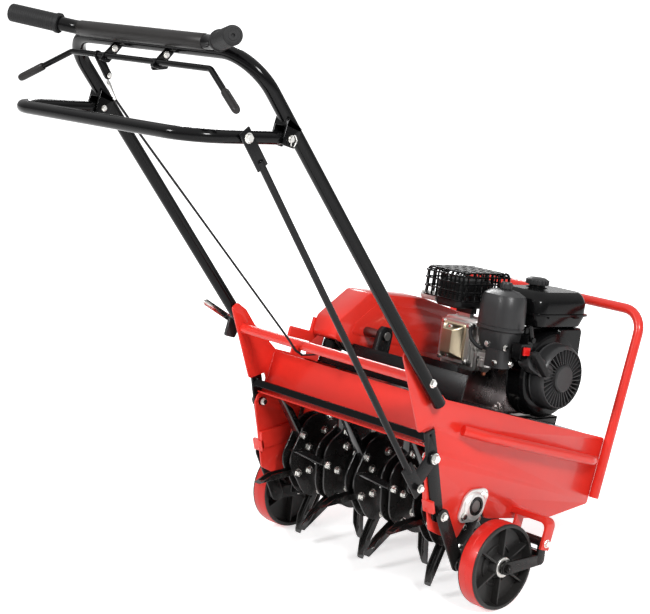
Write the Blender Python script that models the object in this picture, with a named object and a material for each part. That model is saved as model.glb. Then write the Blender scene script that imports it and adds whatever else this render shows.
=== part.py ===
# Walk-behind lawn aerator: steel side panels, five rotors of bolted spoon tines, transport wheels on a
# toggle lift, a tube handle with a lift bail, and a small petrol engine that drives the drum.
# Sizes are millimetres in the chassis frame (x to the machine's right, y forward, z up, origin on the
# drum's axis). They become metres when a mesh is made. The chassis then leans nose down onto its wheels.
import math

import bmesh
import bpy
from mathutils import Matrix, Vector

# Driving sizes
MM = 0.001
GAP = 0.3
CHASSIS_PITCH = 21.0
ENGINE_PITCH = 11.2
WHEEL_R = 83.5
PANEL_OUT = 235.0
PANEL_T = 4.0
PANEL_IN = PANEL_OUT - PANEL_T
PANEL_TOP = 180.0
ROTOR_PITCH = 91.4
TINE_TIP_R = 171.0
TINE_LEAN = 9.3
SHAFT_R = 12.5
LEG_X = 249.0
LEG_R = 12.0

# Pivots of the lift linkage and the wheels, as (y, z)
BAIL_HINGE = (-708.0, 521.0)
ROD_TOP = (-794.0, 499.5)
CRANK_PIVOT = (-150.0, 72.0)
ROD_LOW = (-179.5, 15.2)
LINK_TOP = (-94.0, -28.0)
LINK_LOW = (-18.0, -110.0)
FORK_PIVOT = (132.0, -36.0)
WHEEL_AXIS = (46.0, -95.0)
NOSE_R = 50.0
NOSE_FORWARD = 336.0
JACK_AXIS = (-30.0, 262.0)
ENGINE_AXIS = (243.0, 273.0)
CLUTCH_AXIS = (-837.0, 590.0)
IDLER_PIVOT = (40.0, 197.0)
IDLER_TAIL = (36.0, 220.0)
SPRING_FRONT = (88.0, 220.0)
SPRING_PIN_R = 1.6

# Ground is where the wheels stand, so the drum's axis lies this high
LEAN = math.radians(CHASSIS_PITCH)
AXIS_HEIGHT = WHEEL_R + WHEEL_AXIS[0] * math.sin(LEAN) - WHEEL_AXIS[1] * math.cos(LEAN)
AXIS_FORWARD = 83.9
NOSE_CENTRE = (NOSE_FORWARD, (NOSE_R - AXIS_HEIGHT + NOSE_FORWARD * math.sin(LEAN)) / math.cos(LEAN))

# Colours
RED = (0.62, 0.02, 0.02, 1.0)
BLACK = (0.012, 0.012, 0.013, 1.0)
DARK = (0.03, 0.03, 0.032, 1.0)
STEEL = (0.55, 0.55, 0.56, 1.0)
RUBBER = (0.02, 0.02, 0.02, 1.0)
TREAD = (0.7, 0.05, 0.03, 1.0)

for item in list(bpy.data.objects):
    bpy.data.objects.remove(item, do_unlink=True)


# Meshes as bmesh pieces
def piece(verts, faces):
    bm = bmesh.new()
    made = [bm.verts.new(v) for v in verts]
    for face in faces:
        bm.faces.new([made[i] for i in face])
    bmesh.ops.recalc_face_normals(bm, faces=bm.faces)
    return bm


def prism(profile, x0, x1):
    """A (y, z) outline pushed along x."""
    n = len(profile)
    verts = [(x0, y, z) for y, z in profile] + [(x1, y, z) for y, z in profile]
    faces = [tuple(range(n)), tuple(range(2 * n - 1, n - 1, -1))]
    faces += [(i, (i + 1) % n, n + (i + 1) % n, n + i) for i in range(n)]
    return piece(verts, faces)


def box(x0, x1, y0, y1, z0, z1):
    return prism([(y0, z0), (y1, z0), (y1, z1), (y0, z1)], x0, x1)


def bar(p, q, half, x0, x1, over=0.0):
    """A flat bar in the (y, z) plane from p to q, half its width either side."""
    d = Vector((q[0] - p[0], q[1] - p[1])).normalized()
    n = Vector((-d.y, d.x)) * half
    a = Vector(p) - d * over
    b = Vector(q) + d * over
    return prism([tuple(a + n), tuple(a - n), tuple(b - n), tuple(b + n)], x0, x1)


def web(circles, x0, x1, steps=16):
    """A flat plate whose edge is stretched round circles, each ((y, z), radius)."""
    dots = []
    for (y, z), r in circles:
        for i in range(steps):
            a = 2.0 * math.pi * i / steps
            dots.append((round(y + r * math.cos(a), 6), round(z + r * math.sin(a), 6)))
    dots = sorted(set(dots))
    edge = []
    for way in (dots, dots[::-1]):
        half = []
        for p in way:
            while len(half) > 1:
                a, b = half[-2], half[-1]
                if (b[0] - a[0]) * (p[1] - a[1]) - (b[1] - a[1]) * (p[0] - a[0]) > 1e-9:
                    break
                half.pop()
            half.append(p)
        edge += half[:-1]
    return prism(edge, x0, x1)


def slab(outline, z0, z1):
    """An (x, y) outline pushed along z."""
    n = len(outline)
    verts = [(x, y, z0) for x, y in outline] + [(x, y, z1) for x, y in outline]
    faces = [tuple(range(n)), tuple(range(2 * n - 1, n - 1, -1))]
    faces += [(i, (i + 1) % n, n + (i + 1) % n, n + i) for i in range(n)]
    return piece(verts, faces)


def lathe(profile, at=(0.0, 0.0), sides=24, turn=0.0):
    """(x, radius) points turned about the x axis through at; zero radius closes an end."""
    verts = []
    rings = []
    for x, r in profile:
        if r == 0.0:
            rings.append([len(verts)])
            verts.append((x, at[0], at[1]))
            continue
        rings.append(list(range(len(verts), len(verts) + sides)))
        for i in range(sides):
            a = 2.0 * math.pi * i / sides + turn
            verts.append((x, at[0] + r * math.cos(a), at[1] + r * math.sin(a)))
    faces = []
    closed = len(rings[0]) > 1
    pairs = list(zip(rings, rings[1:] + rings[:1])) if closed else list(zip(rings, rings[1:]))
    for a, b in pairs:
        for i in range(sides):
            j = (i + 1) % sides
            if len(a) == 1:
                faces.append((a[0], b[i], b[j]))
            elif len(b) == 1:
                faces.append((a[i], b[0], a[j]))
            else:
                faces.append((a[i], b[i], b[j], a[j]))
    return piece(verts, faces)


def drum(x0, x1, r, at=(0.0, 0.0), sides=24, turn=0.0):
    return lathe([(x0, 0.0), (x0, r), (x1, r), (x1, 0.0)], at, sides, turn)


def rounded(points, radius, steps=5):
    """A path with its corners turned into arcs."""
    out = [Vector(points[0])]
    for before, here, after in zip(points, points[1:], points[2:]):
        here = Vector(here)
        a = (Vector(before) - here).normalized()
        b = (Vector(after) - here).normalized()
        half = a.angle(b) / 2.0
        run = radius / math.tan(half)
        centre = here + (a + b).normalized() * (radius / math.sin(half))
        start = here + a * run - centre
        end = here + b * run - centre
        for i in range(steps + 1):
            t = i / steps
            whole = start.angle(end)
            mix = (start * math.sin((1 - t) * whole) + end * math.sin(t * whole)) / math.sin(whole)
            out.append(centre + mix)
    out.append(Vector(points[-1]))
    return out


def tube(path, radius, sides=12, radii=None):
    """A round bar along a path, with flat ends."""
    path = [Vector(p) for p in path]
    verts = []
    normal = None
    for i, here in enumerate(path):
        back = (here - path[i - 1]).normalized() if i else (path[1] - here).normalized()
        on = (path[i + 1] - here).normalized() if i + 1 < len(path) else back
        along = (back + on).normalized()
        if normal is None:
            normal = along.orthogonal().normalized()
        normal = (normal - along * normal.dot(along)).normalized()
        side = along.cross(normal)
        r = radii[i] if radii else radius
        stretch = 1.0 / max(0.5, along.dot(back))
        bend = (on - back)
        bend = bend.normalized() if bend.length > 1e-6 else None
        for k in range(sides):
            a = 2.0 * math.pi * k / sides
            off = normal * math.cos(a) * r + side * math.sin(a) * r
            if bend is not None:
                off += bend * off.dot(bend) * (stretch - 1.0)
            verts.append(here + off)
    n = len(path)
    faces = [tuple(range(sides)), tuple(range(n * sides - 1, (n - 1) * sides - 1, -1))]
    for i in range(n - 1):
        for k in range(sides):
            j = (k + 1) % sides
            faces.append((i * sides + k, i * sides + j, (i + 1) * sides + j, (i + 1) * sides + k))
    return piece(verts, faces)


def moved(bm, matrix):
    bmesh.ops.transform(bm, matrix=matrix, verts=bm.verts)
    return bm


def along_z(bm, x, y, z):
    """Stand a piece made about the x axis upright at a point."""
    return moved(bm, Matrix.Translation((x, y, z)) @ Matrix.Rotation(math.radians(-90.0), 4, "Y"))


def along_y(bm, x, y, z):
    return moved(bm, Matrix.Translation((x, y, z)) @ Matrix.Rotation(math.radians(90.0), 4, "Z"))


def mirrored(bm, side):
    if side < 0:
        moved(bm, Matrix.Scale(-1.0, 4, (1.0, 0.0, 0.0)))
        bmesh.ops.reverse_faces(bm, faces=bm.faces)
    return bm


# Objects
def empty(name, parent=None, at=(0.0, 0.0, 0.0), pitch=0.0):
    made = bpy.data.objects.new(name, None)
    bpy.context.scene.collection.objects.link(made)
    made.empty_display_size = 0.05
    made.parent = parent
    made.location = [v * MM for v in at]
    made.rotation_euler = (math.radians(pitch), 0.0, 0.0)
    return made


def paint(colour, metallic, roughness, name):
    material = bpy.data.materials.new(name)
    material.use_nodes = True
    shader = material.node_tree.nodes["Principled BSDF"]
    shader.inputs["Base Color"].default_value = colour
    shader.inputs["Metallic"].default_value = metallic
    shader.inputs["Roughness"].default_value = roughness
    return material


FINISH = {"red": (RED, 0.0, 0.3), "black": (BLACK, 0.0, 0.35), "dark": (DARK, 0.0, 0.5),
          "steel": (STEEL, 1.0, 0.35), "rubber": (RUBBER, 0.0, 0.8), "tread": (TREAD, 0.0, 0.5)}


def solid(name, parts, parent, finish, cuts=(), at=(0.0, 0.0, 0.0)):
    """Join pieces into one watertight body and place it with its origin at a point of its parent."""
    made = []
    for bm in list(parts) + list(cuts):
        mesh = bpy.data.meshes.new(name + "_piece")
        bm.to_mesh(mesh)
        bm.free()
        tool = bpy.data.objects.new(name + "_piece", mesh)
        bpy.context.scene.collection.objects.link(tool)
        made.append(tool)
    base = made[0]
    for i, tool in enumerate(made[1:], start=1):
        mod = base.modifiers.new("join", "BOOLEAN")
        mod.solver = "EXACT"
        mod.operation = "UNION" if i < len(parts) else "DIFFERENCE"
        mod.object = tool
    graph = bpy.context.evaluated_depsgraph_get()
    graph.update()
    joined = bmesh.new()
    joined.from_object(base, graph)
    for tool in made:
        mesh = tool.data
        bpy.data.objects.remove(tool, do_unlink=True)
        bpy.data.meshes.remove(mesh)
    bmesh.ops.remove_doubles(joined, verts=joined.verts, dist=0.001)
    bmesh.ops.dissolve_limit(joined, angle_limit=math.radians(0.5), verts=joined.verts, edges=joined.edges)
    moved(joined, Matrix.Scale(MM, 4) @ Matrix.Translation([-v for v in at]))
    mesh = bpy.data.meshes.new(name)
    joined.to_mesh(mesh)
    joined.free()
    body = bpy.data.objects.new(name, mesh)
    bpy.context.scene.collection.objects.link(body)
    body.parent = parent
    body.location = [v * MM for v in at]
    mesh.materials.append(paint(*FINISH[finish], name))
    return body


chassis = empty("chassis", None, (0.0, AXIS_FORWARD, AXIS_HEIGHT), -CHASSIS_PITCH)
engine = empty("engine", chassis, (0.0, ENGINE_AXIS[0], ENGINE_AXIS[1]), ENGINE_PITCH)
SIDES = (("left", -1.0), ("right", 1.0))

# Side panels, each with the stop tab of the lift crank and the inner rail welded on
PANEL = [(-291, 237), (-281, 250), (-254, 241), (-222, 217), (-150, PANEL_TOP), (354, PANEL_TOP), (354, 43),
         (237, 0), (60, -20), (46, -20), (36, -4), (18, 16), (-16, 16), (-20, 0), (-4, -14), (3, -19), (-16, -66),
         (-66, -66), (-101, -59), (-166, 66), (-164, 82), (-154, 92), (-154, 118), (-162, 129), (-198, 110)]
CRANK_PIN_R = 8.0
for side_name, side in SIDES:
    parts = [prism(PANEL, PANEL_IN, PANEL_OUT)]
    parts.append(bar((-128.0, -6.0), (-53.0, 26.0), 18.0, PANEL_IN - 8.0, PANEL_IN + 1.0))
    parts.append(bar((-127.0, -5.6), (-115.0, -26.0), 3.0, PANEL_IN - 8.0, PANEL_OUT + 20.0))
    y, z = FORK_PIVOT
    parts.append(box(322, 327, y - 12, y + 12, z - 13, z + 48))
    parts.append(box(246, 251, y - 12, y + 12, z - 13, z + 48))
    parts.append(box(PANEL_OUT - 1.0, 327, y - 12, y + 12, z + 43, z + 48))
    parts.append(drum(248.0, 333.0, 5.0, FORK_PIVOT, 12))
    cuts = [drum(PANEL_IN - 5.0, PANEL_OUT + 5.0, CRANK_PIN_R + GAP, CRANK_PIVOT, 20)]
    solid("side_panel_" + side_name, [mirrored(p, side) for p in parts], chassis, "red",
          [mirrored(c, side) for c in cuts])

# Cross members between the panels
END = PANEL_IN - GAP
cover = [(-168, 88), (-149, 88), (-149, 173), (-132, 173), (-132, 176), (-152, 176), (-152, 91), (-168, 91)]
solid("rear_cover", [prism(cover, -END, END)], chassis, "red")
TUBE_AT = (-250.0, 204.0)
cable_clip = box(-99, -94.5, -269, -246, 184, 200)
solid("rear_cross_tube", [drum(-END, END, 9.5, TUBE_AT, 16), cable_clip], chassis, "red")
HOOP_X = 244.3
hoop = [(-HOOP_X, 358, 58), (-HOOP_X, 358, 445), (HOOP_X, 358, 445), (HOOP_X, 358, 58)]
solid("front_hoop", [tube(rounded(hoop, 45.0), 10.0, 10)], chassis, "red")
for side_name, side in SIDES:
    rail = [(244.5, -92, 133), (264, -48, 132), (264, 290, 132), (244.5, 325, 132)]
    rail = [(x * side, y, z) for x, y, z in rail]
    solid("bumper_tube_" + side_name, [tube(rounded(rail, 40.0, 4), 10.0, 10)], chassis, "red")

# The deck over the drum with its upright rear edge, and the sloping bed the engine is bolted to
DECK_Z = 177.0
JACK_R = 9.0
BLOCK_X = (-200.0, -66.0)
deck = [box(-END, END, -62, 108, DECK_Z, DECK_Z + 3), box(-195, 195, -62, -58.5, DECK_Z, 231.5)]
for x in BLOCK_X:
    block = [(-52, DECK_Z + 1), (-8, DECK_Z + 1), (-12, 268), (-20, 280), (-40, 280), (-48, 268)]
    deck.append(prism(block, x - 6.0, x + 6.0))
deck_cuts = [drum(BLOCK_X[0] - 9.0, BLOCK_X[1] + 9.0, JACK_R + GAP, JACK_AXIS, 20)]
deck.append(box(-134, -131, 28, 54, DECK_Z + 1, IDLER_PIVOT[1] + 8))
deck.append(drum(-142, -131, 4.0, IDLER_PIVOT, 10))
deck.append(box(-124, -121, SPRING_FRONT[0] - 6, SPRING_FRONT[0] + 6, DECK_Z + 1, SPRING_FRONT[1] + 6))
deck.append(drum(-133, -122, SPRING_PIN_R, SPRING_FRONT, 10))
deck_cuts.append(box(-218, -205, -58, 52, DECK_Z - 5, DECK_Z + 8))
deck_cuts += [box(-200, -112, -65, -55, 225.0, 240.0), box(-166, -122, -65, -55, 205.0, 230.0)]
solid("engine_deck", deck, chassis, "black", deck_cuts)
bed = [(108.3, 150.5), (338, 196), (338, 172), (334, 172), (334, 191), (108.3, 146)]
solid("engine_bed", [prism(bed, -END, END)], chassis, "black")
ahead = [(338.5, 40), (342.5, 40), (342.5, 150), (352, 150), (352, 154), (338.5, 154)]

# Front cross member with the cheeks of the nose wheel that carries the front, hidden between the panels
nose = [prism(ahead, -END, END), box(-60, 60, 300, 341, 40, 46)]
for side in (-1.0, 1.0):
    y, z = NOSE_CENTRE
    cheek = [(y - 24, 44), (y - 6, 44), (y + 11, -6), (y + 11, z - 11), (y - 9, z - 11), (y - 30, 0)]
    nose.append(mirrored(prism(cheek, 19, 23), side))
nose.append(drum(-27, 27, 5.0, NOSE_CENTRE, 12))
solid("front_cross_member", nose, chassis, "red")

# Drum bearings: a two-bolt flange outside each panel, its insert, and the plate inside that backs it
for side_name, side in SIDES:
    flange = [bar((-19, -21), (19, 21), 15.0, PANEL_OUT + GAP, PANEL_OUT + 6.0, 12.0)]
    flange.append(drum(PANEL_OUT + GAP, PANEL_OUT + 13.0, 30.0, sides=24))
    for y, z in ((-21.5, -23.5), (21.5, 23.5)):
        flange.append(drum(PANEL_OUT + 5.0, PANEL_OUT + 11.0, 7.0, (y, z), 6))
    flange.append(drum(PANEL_OUT + GAP, PANEL_OUT + 14.5, 18.0, sides=24))
    hole = [drum(PANEL_OUT - 1.0, PANEL_OUT + 20.0, SHAFT_R + GAP, sides=24)]
    solid("bearing_flange_" + side_name, [mirrored(p, side) for p in flange], chassis, "steel",
          [mirrored(c, side) for c in hole])
    backing = [(-40, 34), (40, 34), (48, -20), (30, -98), (-14, -98), (-22, -60), (-40, -20)]
    plate = [prism(backing, PANEL_IN - 13.0, PANEL_IN - 8.3)]
    for y, z in ((-1, -44), (3, -82), (-30, 24), (30, 24)):
        plate.append(drum(PANEL_IN - 9.0, PANEL_IN - GAP, 6.0, (y, z), 6))
    hole = [drum(PANEL_IN - 20.0, PANEL_IN, SHAFT_R + 2.0, sides=24)]
    solid("bearing_plate_" + side_name, [mirrored(p, side) for p in plate], chassis, "black",
          [mirrored(c, side) for c in hole])

# Handle frame: one bent tube with the bail brackets and the clutch lever lugs welded to it
leg_low = (-181.0, 170.0)
leg_dir = Vector((-0.8137, 0.5821))
bend_at = Vector(leg_low) + leg_dir * 780.0
frame_path = [(-LEG_X, *leg_low), (-LEG_X, bend_at.x, bend_at.y), (LEG_X, bend_at.x, bend_at.y),
              (LEG_X, *leg_low)]
frame = [tube(rounded(frame_path, 85.0, 7), LEG_R)]
BAIL_R = 11.0
for side in (-1.0, 1.0):
    y, z = BAIL_HINGE
    cheek = [(y - 15, z - 13), (y + 13, z - 13), (y + 17, z + 20), (y + 10, z + 24), (y - 15, z + 34)]
    for x in (-BAIL_R - 5.0, BAIL_R + 1.0):
        frame.append(mirrored(prism(cheek, LEG_X + x, LEG_X + x + 4.0), side))
    bridge = [(y - 15, z + 17), (y + 16, z + 15), (y + 17, z + 21), (y - 15, z + 30)]
    frame.append(mirrored(prism(bridge, LEG_X - BAIL_R - 5.0, LEG_X + BAIL_R + 5.0), side))
    frame.append(mirrored(drum(LEG_X - BAIL_R - 8.0, LEG_X + BAIL_R + 8.0, 4.0, BAIL_HINGE, 12), side))
    ear_bolt = (-226.0, 203.0)
    frame.append(mirrored(drum(LEG_X - 14.0 + GAP, LEG_X + 19.0, 5.0, ear_bolt, 8), side))
CROSS = (bend_at.x, bend_at.y)
for x in (-90.0, 50.0):
    y, z = CLUTCH_AXIS
    lug = [(y - 11, z - 10), (y + 9, z - 10), (CROSS[0] + 9, CROSS[1] - 4), (CROSS[0] - 8, CROSS[1] - 4)]
    frame.append(prism(lug, x - 3.0, x + 3.0))
frame_cuts = [drum(-100, 60, 5.0 + GAP, CLUTCH_AXIS, 14)]
solid("handle_frame", frame, chassis, "black", frame_cuts)
BAR_AT = (CROSS[0] - 22.0, CROSS[1] + 10.5)
bar_path = [(-298, BAR_AT[0] - 57, BAR_AT[1]), (-181, *BAR_AT), (181, *BAR_AT),
            (298, BAR_AT[0] - 57, BAR_AT[1])]
bar_path = rounded(bar_path, 60.0, 3)
solid("handlebar", [tube(bar_path, 12.0)], chassis, "black")
grip_dir = Vector((117.0, -57.0, 0.0)).normalized()
for side_name, side in SIDES:
    tip = Vector((298, BAR_AT[0] - 57, BAR_AT[1])) + grip_dir * 4.0
    inner = tip - grip_dir * 106.0
    path = [inner, inner + grip_dir * 8.0, inner + grip_dir * 9.0, tip - grip_dir * 3.0, tip]
    path = [Vector((p.x * side, p.y, p.z)) for p in path]
    hollow = [inner - grip_dir * 5.0, tip - grip_dir * 3.7]
    hollow = [Vector((p.x * side, p.y, p.z)) for p in hollow]
    solid("grip_" + side_name, [tube(path, 17.0, 16, [19.0, 19.0, 17.0, 17.0, 15.0])], chassis, "rubber",
          [tube(hollow, 12.0 + GAP, 12)])

# Clutch lever, a bent rod that turns in the two lugs and pulls the cable through an arm
y, z = CLUTCH_AXIS
lever_path = [(-290, y - 16, z - 60), (-200, y, z), (200, y, z), (290, y - 16, z - 60)]
lever = [tube(rounded(lever_path, 20.0, 3), 5.0, 10)]
arm_pin = (-806.0, 563.0)
lever.append(bar(CLUTCH_AXIS, arm_pin, 7.0, -114, -109, 7.0))
lever.append(drum(-122, -107, 3.5, arm_pin, 8))
for side in (-1.0, 1.0):
    a = Vector((290 * side, y - 16, z - 60))
    d = (Vector((200 * side, y, z)) - a).normalized()
    lever.append(tube([a - d * 3.0, a, a + d * 52.0, a + d * 54.0], 7.5, 10, [5.0, 7.5, 7.5, 6.0]))
solid("clutch_lever", lever, chassis, "black", at=(0.0, *CLUTCH_AXIS))
CABLE_X = -118.0
cable_path = [(CABLE_X, -790, 551), (CABLE_X, -771, 540), (CABLE_X, -769, 539), (-110, -560, 404), (-96, -330, 254),
              (-91, -280, 206), (-91, -262, 190), (-92, -240, 186), (-96, -190, 192), (-128, -66, 216),
              (-129, -10, 219.5), (-129, 26, 220)]
CABLE_R = 2.2
cable = tube([Vector(p) for p in cable_path], CABLE_R, 8, [4.0, 4.0] + [CABLE_R] * (len(cable_path) - 2))
solid("clutch_cable", [cable], chassis, "rubber")

# Lift bail, with the bolt that carries the rod
bail_end = (BAIL_HINGE[0] - 182.0, BAIL_HINGE[1] - 45.5)
bail_dir = (Vector(bail_end) - Vector(BAIL_HINGE)).normalized()
bail_start = tuple(Vector(BAIL_HINGE) + bail_dir * 11.0)
bail_path = [(-LEG_X, *bail_start), (-LEG_X, *bail_end), (LEG_X, *bail_end), (LEG_X, *bail_start)]
bail = [tube(rounded(bail_path, 90.0, 6), BAIL_R)]
for side in (-1.0, 1.0):
    eye_end = tuple(Vector(BAIL_HINGE) + bail_dir * 16.0)
    eye = web([(BAIL_HINGE, 8.5), (eye_end, 8.5)], LEG_X - BAIL_R + 0.6, LEG_X + BAIL_R - 0.6)
    bail.append(mirrored(eye, side))
bail.append(drum(LEG_X, 271, 5.0, ROD_TOP, 10))
bail_cuts = [drum(-LEG_X - 20, -LEG_X + 20, 4.0 + GAP, BAIL_HINGE, 12)]
bail_cuts.append(drum(LEG_X - 20, LEG_X + 20, 4.0 + GAP, BAIL_HINGE, 12))
solid("lift_bail", bail, chassis, "black", bail_cuts, (0.0, *BAIL_HINGE))

# Lift rod with a flat plate at each end
rod_dir = (Vector((250.0 - 264.0, ROD_LOW[0] - ROD_TOP[0], ROD_LOW[1] - ROD_TOP[1]))).normalized()
top = Vector((264.0, *ROD_TOP))
low = Vector((247.5, *ROD_LOW))
flat = (rod_dir.y, rod_dir.z)
along = Vector(flat)
top_mid = Vector((top.y, top.z))
low_mid = Vector((low.y, low.z))
rod = [bar(tuple(top_mid - 14 * along), tuple(top_mid + 58 * along), 11.0, 262, 266)]
rod.append(bar(tuple(low_mid - 52 * along), tuple(low_mid + 16 * along), 13.5, 245.5, 249.5))
start = top + rod_dir * 45.0
stop = low + Vector((0.0, rod_dir.y, rod_dir.z)) * -38.0
start.x = 264.0
stop.x = 247.5
rod.append(tube([start, stop], 6.0, 10))
rod.append(drum(241.7, 257, 6.0, ROD_LOW, 10))
rod_cuts = [drum(258, 270, 5.0 + GAP, ROD_TOP, 10)]
solid("lift_rod", rod, chassis, "black", rod_cuts, (0.0, *ROD_TOP))

# Lift crank: two outside arms joined by a bar behind the panels, with the rod's short arm on the right
CRANK_X0 = PANEL_OUT + 1.0
CRANK_X1 = CRANK_X0 + 5.0
LINK_X = 250.2
reach = Vector((LINK_TOP[0] - CRANK_PIVOT[0], LINK_TOP[1] - CRANK_PIVOT[1]))
reach_dir = reach.normalized()
high = Vector(CRANK_PIVOT) - reach_dir * 45.0
BAR_CENTRE = (-173.5, 106.0)
y, z = BAR_CENTRE
crank = [box(-CRANK_X0 - 1, CRANK_X0 + 1, y - 7, y + 7, z - 7, z + 7)]
for side in (-1.0, 1.0):
    crank.append(mirrored(web([(high, 10.0), (CRANK_PIVOT, 14.0), (LINK_TOP, 14.0)], CRANK_X0, CRANK_X1), side))
    crank.append(mirrored(drum(PANEL_IN - 6.0, CRANK_X1 + 7.0, CRANK_PIN_R, CRANK_PIVOT, 12), side))
    crank.append(mirrored(drum(CRANK_X1 - 1.0, CRANK_X1 + 6.0, 12.5, CRANK_PIVOT, 16), side))
    crank.append(mirrored(drum(CRANK_X1 - 1.0, LINK_X - 0.4, 8.0, LINK_TOP, 12), side))
    crank.append(mirrored(drum(CRANK_X1 + 2.0, LINK_X + 5.2, 5.0, LINK_TOP, 10, 0.1), side))
crank.append(web([(CRANK_PIVOT, 15.0), (ROD_LOW, 14.0)], CRANK_X0 + 0.3, CRANK_X1 + 0.3))
solid("lift_crank", crank, chassis, "dark", at=(0.0, *CRANK_PIVOT))

# Toggle links from the crank arms down to the wheel forks
for side_name, side in SIDES:
    link = [web([(LINK_TOP, 14.5), (LINK_LOW, 14.5)], LINK_X, LINK_X + 4.5)]
    link.append(drum(LINK_X + 3.5, 257.0 - GAP, 6.0, LINK_LOW, 10, 0.1))
    cuts = [drum(235, 260, 5.0 + GAP, LINK_TOP, 10)]
    solid("link_" + side_name, [mirrored(p, side) for p in link], chassis, "dark",
          [mirrored(c, side) for c in cuts], (0.0, *LINK_TOP))

# Wheel forks, folded round the wheels, in their brackets on the panels
WHEEL_X0 = 269.0
WHEEL_X1 = 310.0
ARM_OUT = 314.0
for side_name, side in SIDES:
    y, z = WHEEL_AXIS
    heel = (139.0, -69.0)
    fork = [web([(WHEEL_AXIS, 12.5), (heel, 8.0)], ARM_OUT, ARM_OUT + 5.0)]
    fork.append(web([(LINK_LOW, 12.5), (WHEEL_AXIS, 12.5), (heel, 8.0)], 257.0, 262.0))
    fork.append(web([(FORK_PIVOT, 10.0), (heel, 8.0)], 256.7, 262.3))
    fork.append(web([(FORK_PIVOT, 10.0), (heel, 8.0)], ARM_OUT - 0.3, ARM_OUT + 5.3))
    fork.append(bar((135.8, -55.2), (142.0, -75.0), 2.8, 258.0, ARM_OUT + 4.0, 0.0))
    fork.append(drum(256.0, 320.0, 8.7, FORK_PIVOT, 16, 0.1))
    fork.append(drum(252.0, 327.0, 6.0, WHEEL_AXIS, 12, 0.13))
    fork.append(drum(261.0, 267.0, 7.0, LINK_LOW, 6, 0.13))
    cuts = [drum(240.0, 340.0, 5.0 + GAP, FORK_PIVOT, 12)]
    solid("fork_" + side_name, [mirrored(p, side) for p in fork], chassis, "dark",
          [mirrored(c, side) for c in cuts], (0.0, *FORK_PIVOT))

# Wheels: a ribbed core and a moulded tread
for side_name, side in SIDES:
    rim = [(WHEEL_X0, 66.0), (WHEEL_X0, 74.0), (WHEEL_X1, 74.0), (WHEEL_X1, 66.0), (292, 62), (292, 24),
           (WHEEL_X1 - 2, 19), (WHEEL_X1 - 2, 6 + GAP), (WHEEL_X0 + 2, 6 + GAP), (WHEEL_X0 + 2, 19), (287, 24), (287, 62)]
    core = [lathe(rim, WHEEL_AXIS, 32)]
    for k in range(6):
        rib = prism([(-2.0, 15.0), (2.0, 15.0), (2.0, 68.0), (-2.0, 68.0)], 275.0, 304.0)
        turn = Matrix.Rotation(math.radians(60.0 * k + 12.0), 4, "X")
        core.append(moved(rib, Matrix.Translation((0.0, *WHEEL_AXIS)) @ turn))
    solid("wheel_core_" + side_name, [mirrored(p, side) for p in core], chassis, "black", at=(0.0, *WHEEL_AXIS))
    band = [(WHEEL_X0, 74 + GAP), (WHEEL_X0, 80), (WHEEL_X0 + 5, WHEEL_R), (WHEEL_X1 - 5, WHEEL_R), (WHEEL_X1, 80),
            (WHEEL_X1, 74 + GAP)]
    solid("wheel_tread_" + side_name, [mirrored(lathe(band, WHEEL_AXIS, 40), side)], chassis, "tread",
          at=(0.0, *WHEEL_AXIS))
nose_half = [(-15, 5 + GAP), (-15, 16), (-12, 20), (-12, 42), (-15, 44), (-13, NOSE_R)]
nose_rim = nose_half + [(-x, r) for x, r in reversed(nose_half)]
solid("nose_wheel", [lathe(nose_rim, NOSE_CENTRE, 24)], chassis, "rubber", at=(0.0, *NOSE_CENTRE))

# Tine drum
drum_spin = empty("drum_axis", chassis)
shaft = [drum(-246, 246, SHAFT_R, sides=20), drum(-214.5, -208.5, 48.0, sides=18)]
solid("tine_shaft", shaft, drum_spin, "steel")
DISC_R = 92.0
DISC_X0 = 9.5
DISC_X1 = 13.5
TINE_WALL = 3.0
TINE_SLANT = 2.6


def tine(angle):
    """One spoon tine: a folded channel clamped between the discs, cut slantwise at its tip."""
    lean = math.radians(TINE_LEAN)
    reach_in = 36.0
    reach_out = TINE_TIP_R * math.cos(lean)
    back = -TINE_TIP_R * math.sin(lean) - 6.0
    floor = back + TINE_WALL
    mouth = back + 13.0
    section = [(-10, back), (10, back), (10, mouth), (7, mouth), (7, floor), (-7, floor), (-7, mouth), (-10, mouth)]
    n = len(section)
    verts = [(x, s, reach_in) for x, s in section]
    verts += [(x, s, reach_out - TINE_SLANT * (s - back)) for x, s in section]
    faces = [tuple(range(n)), tuple(range(2 * n - 1, n - 1, -1))]
    faces += [(i, (i + 1) % n, n + (i + 1) % n, n + i) for i in range(n)]
    return moved(piece(verts, faces), Matrix.Rotation(math.radians(angle - 90.0 - TINE_LEAN), 4, "X"))


def rotor(name, x, first):
    shell = [(-DISC_X1, SHAFT_R + GAP), (-DISC_X1, DISC_R), (-DISC_X0, DISC_R), (-DISC_X0, 22), (DISC_X0, 22),
             (DISC_X0, DISC_R), (DISC_X1, DISC_R), (DISC_X1, SHAFT_R + GAP)]
    parts = [lathe(shell, sides=20)]
    for k in range(6):
        angle = first + 60.0 * k
        parts.append(tine(angle))
        way = math.radians(angle - TINE_LEAN)
        d = Vector((math.cos(way), math.sin(way)))
        n = Vector((-d.y, d.x))
        foot = n * (TINE_TIP_R * math.sin(math.radians(TINE_LEAN)))
        for run in (42.0, 72.0):
            spot = foot + d * run
            for side in (-1.0, 1.0):
                parts.append(mirrored(drum(DISC_X1 - 1.0, DISC_X1 + 5.0, 6.5, tuple(spot), 6), side))
    made = [moved(p, Matrix.Translation((x, 0.0, 0.0))) for p in parts]
    solid(name, made, drum_spin, "black")


TINE_A = -92.0
TINE_B = -62.0
for k in range(5):
    rotor("tine_rotor_%d" % (k + 1), (k - 2) * ROTOR_PITCH, TINE_A if k % 2 == 0 else TINE_B)

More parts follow.
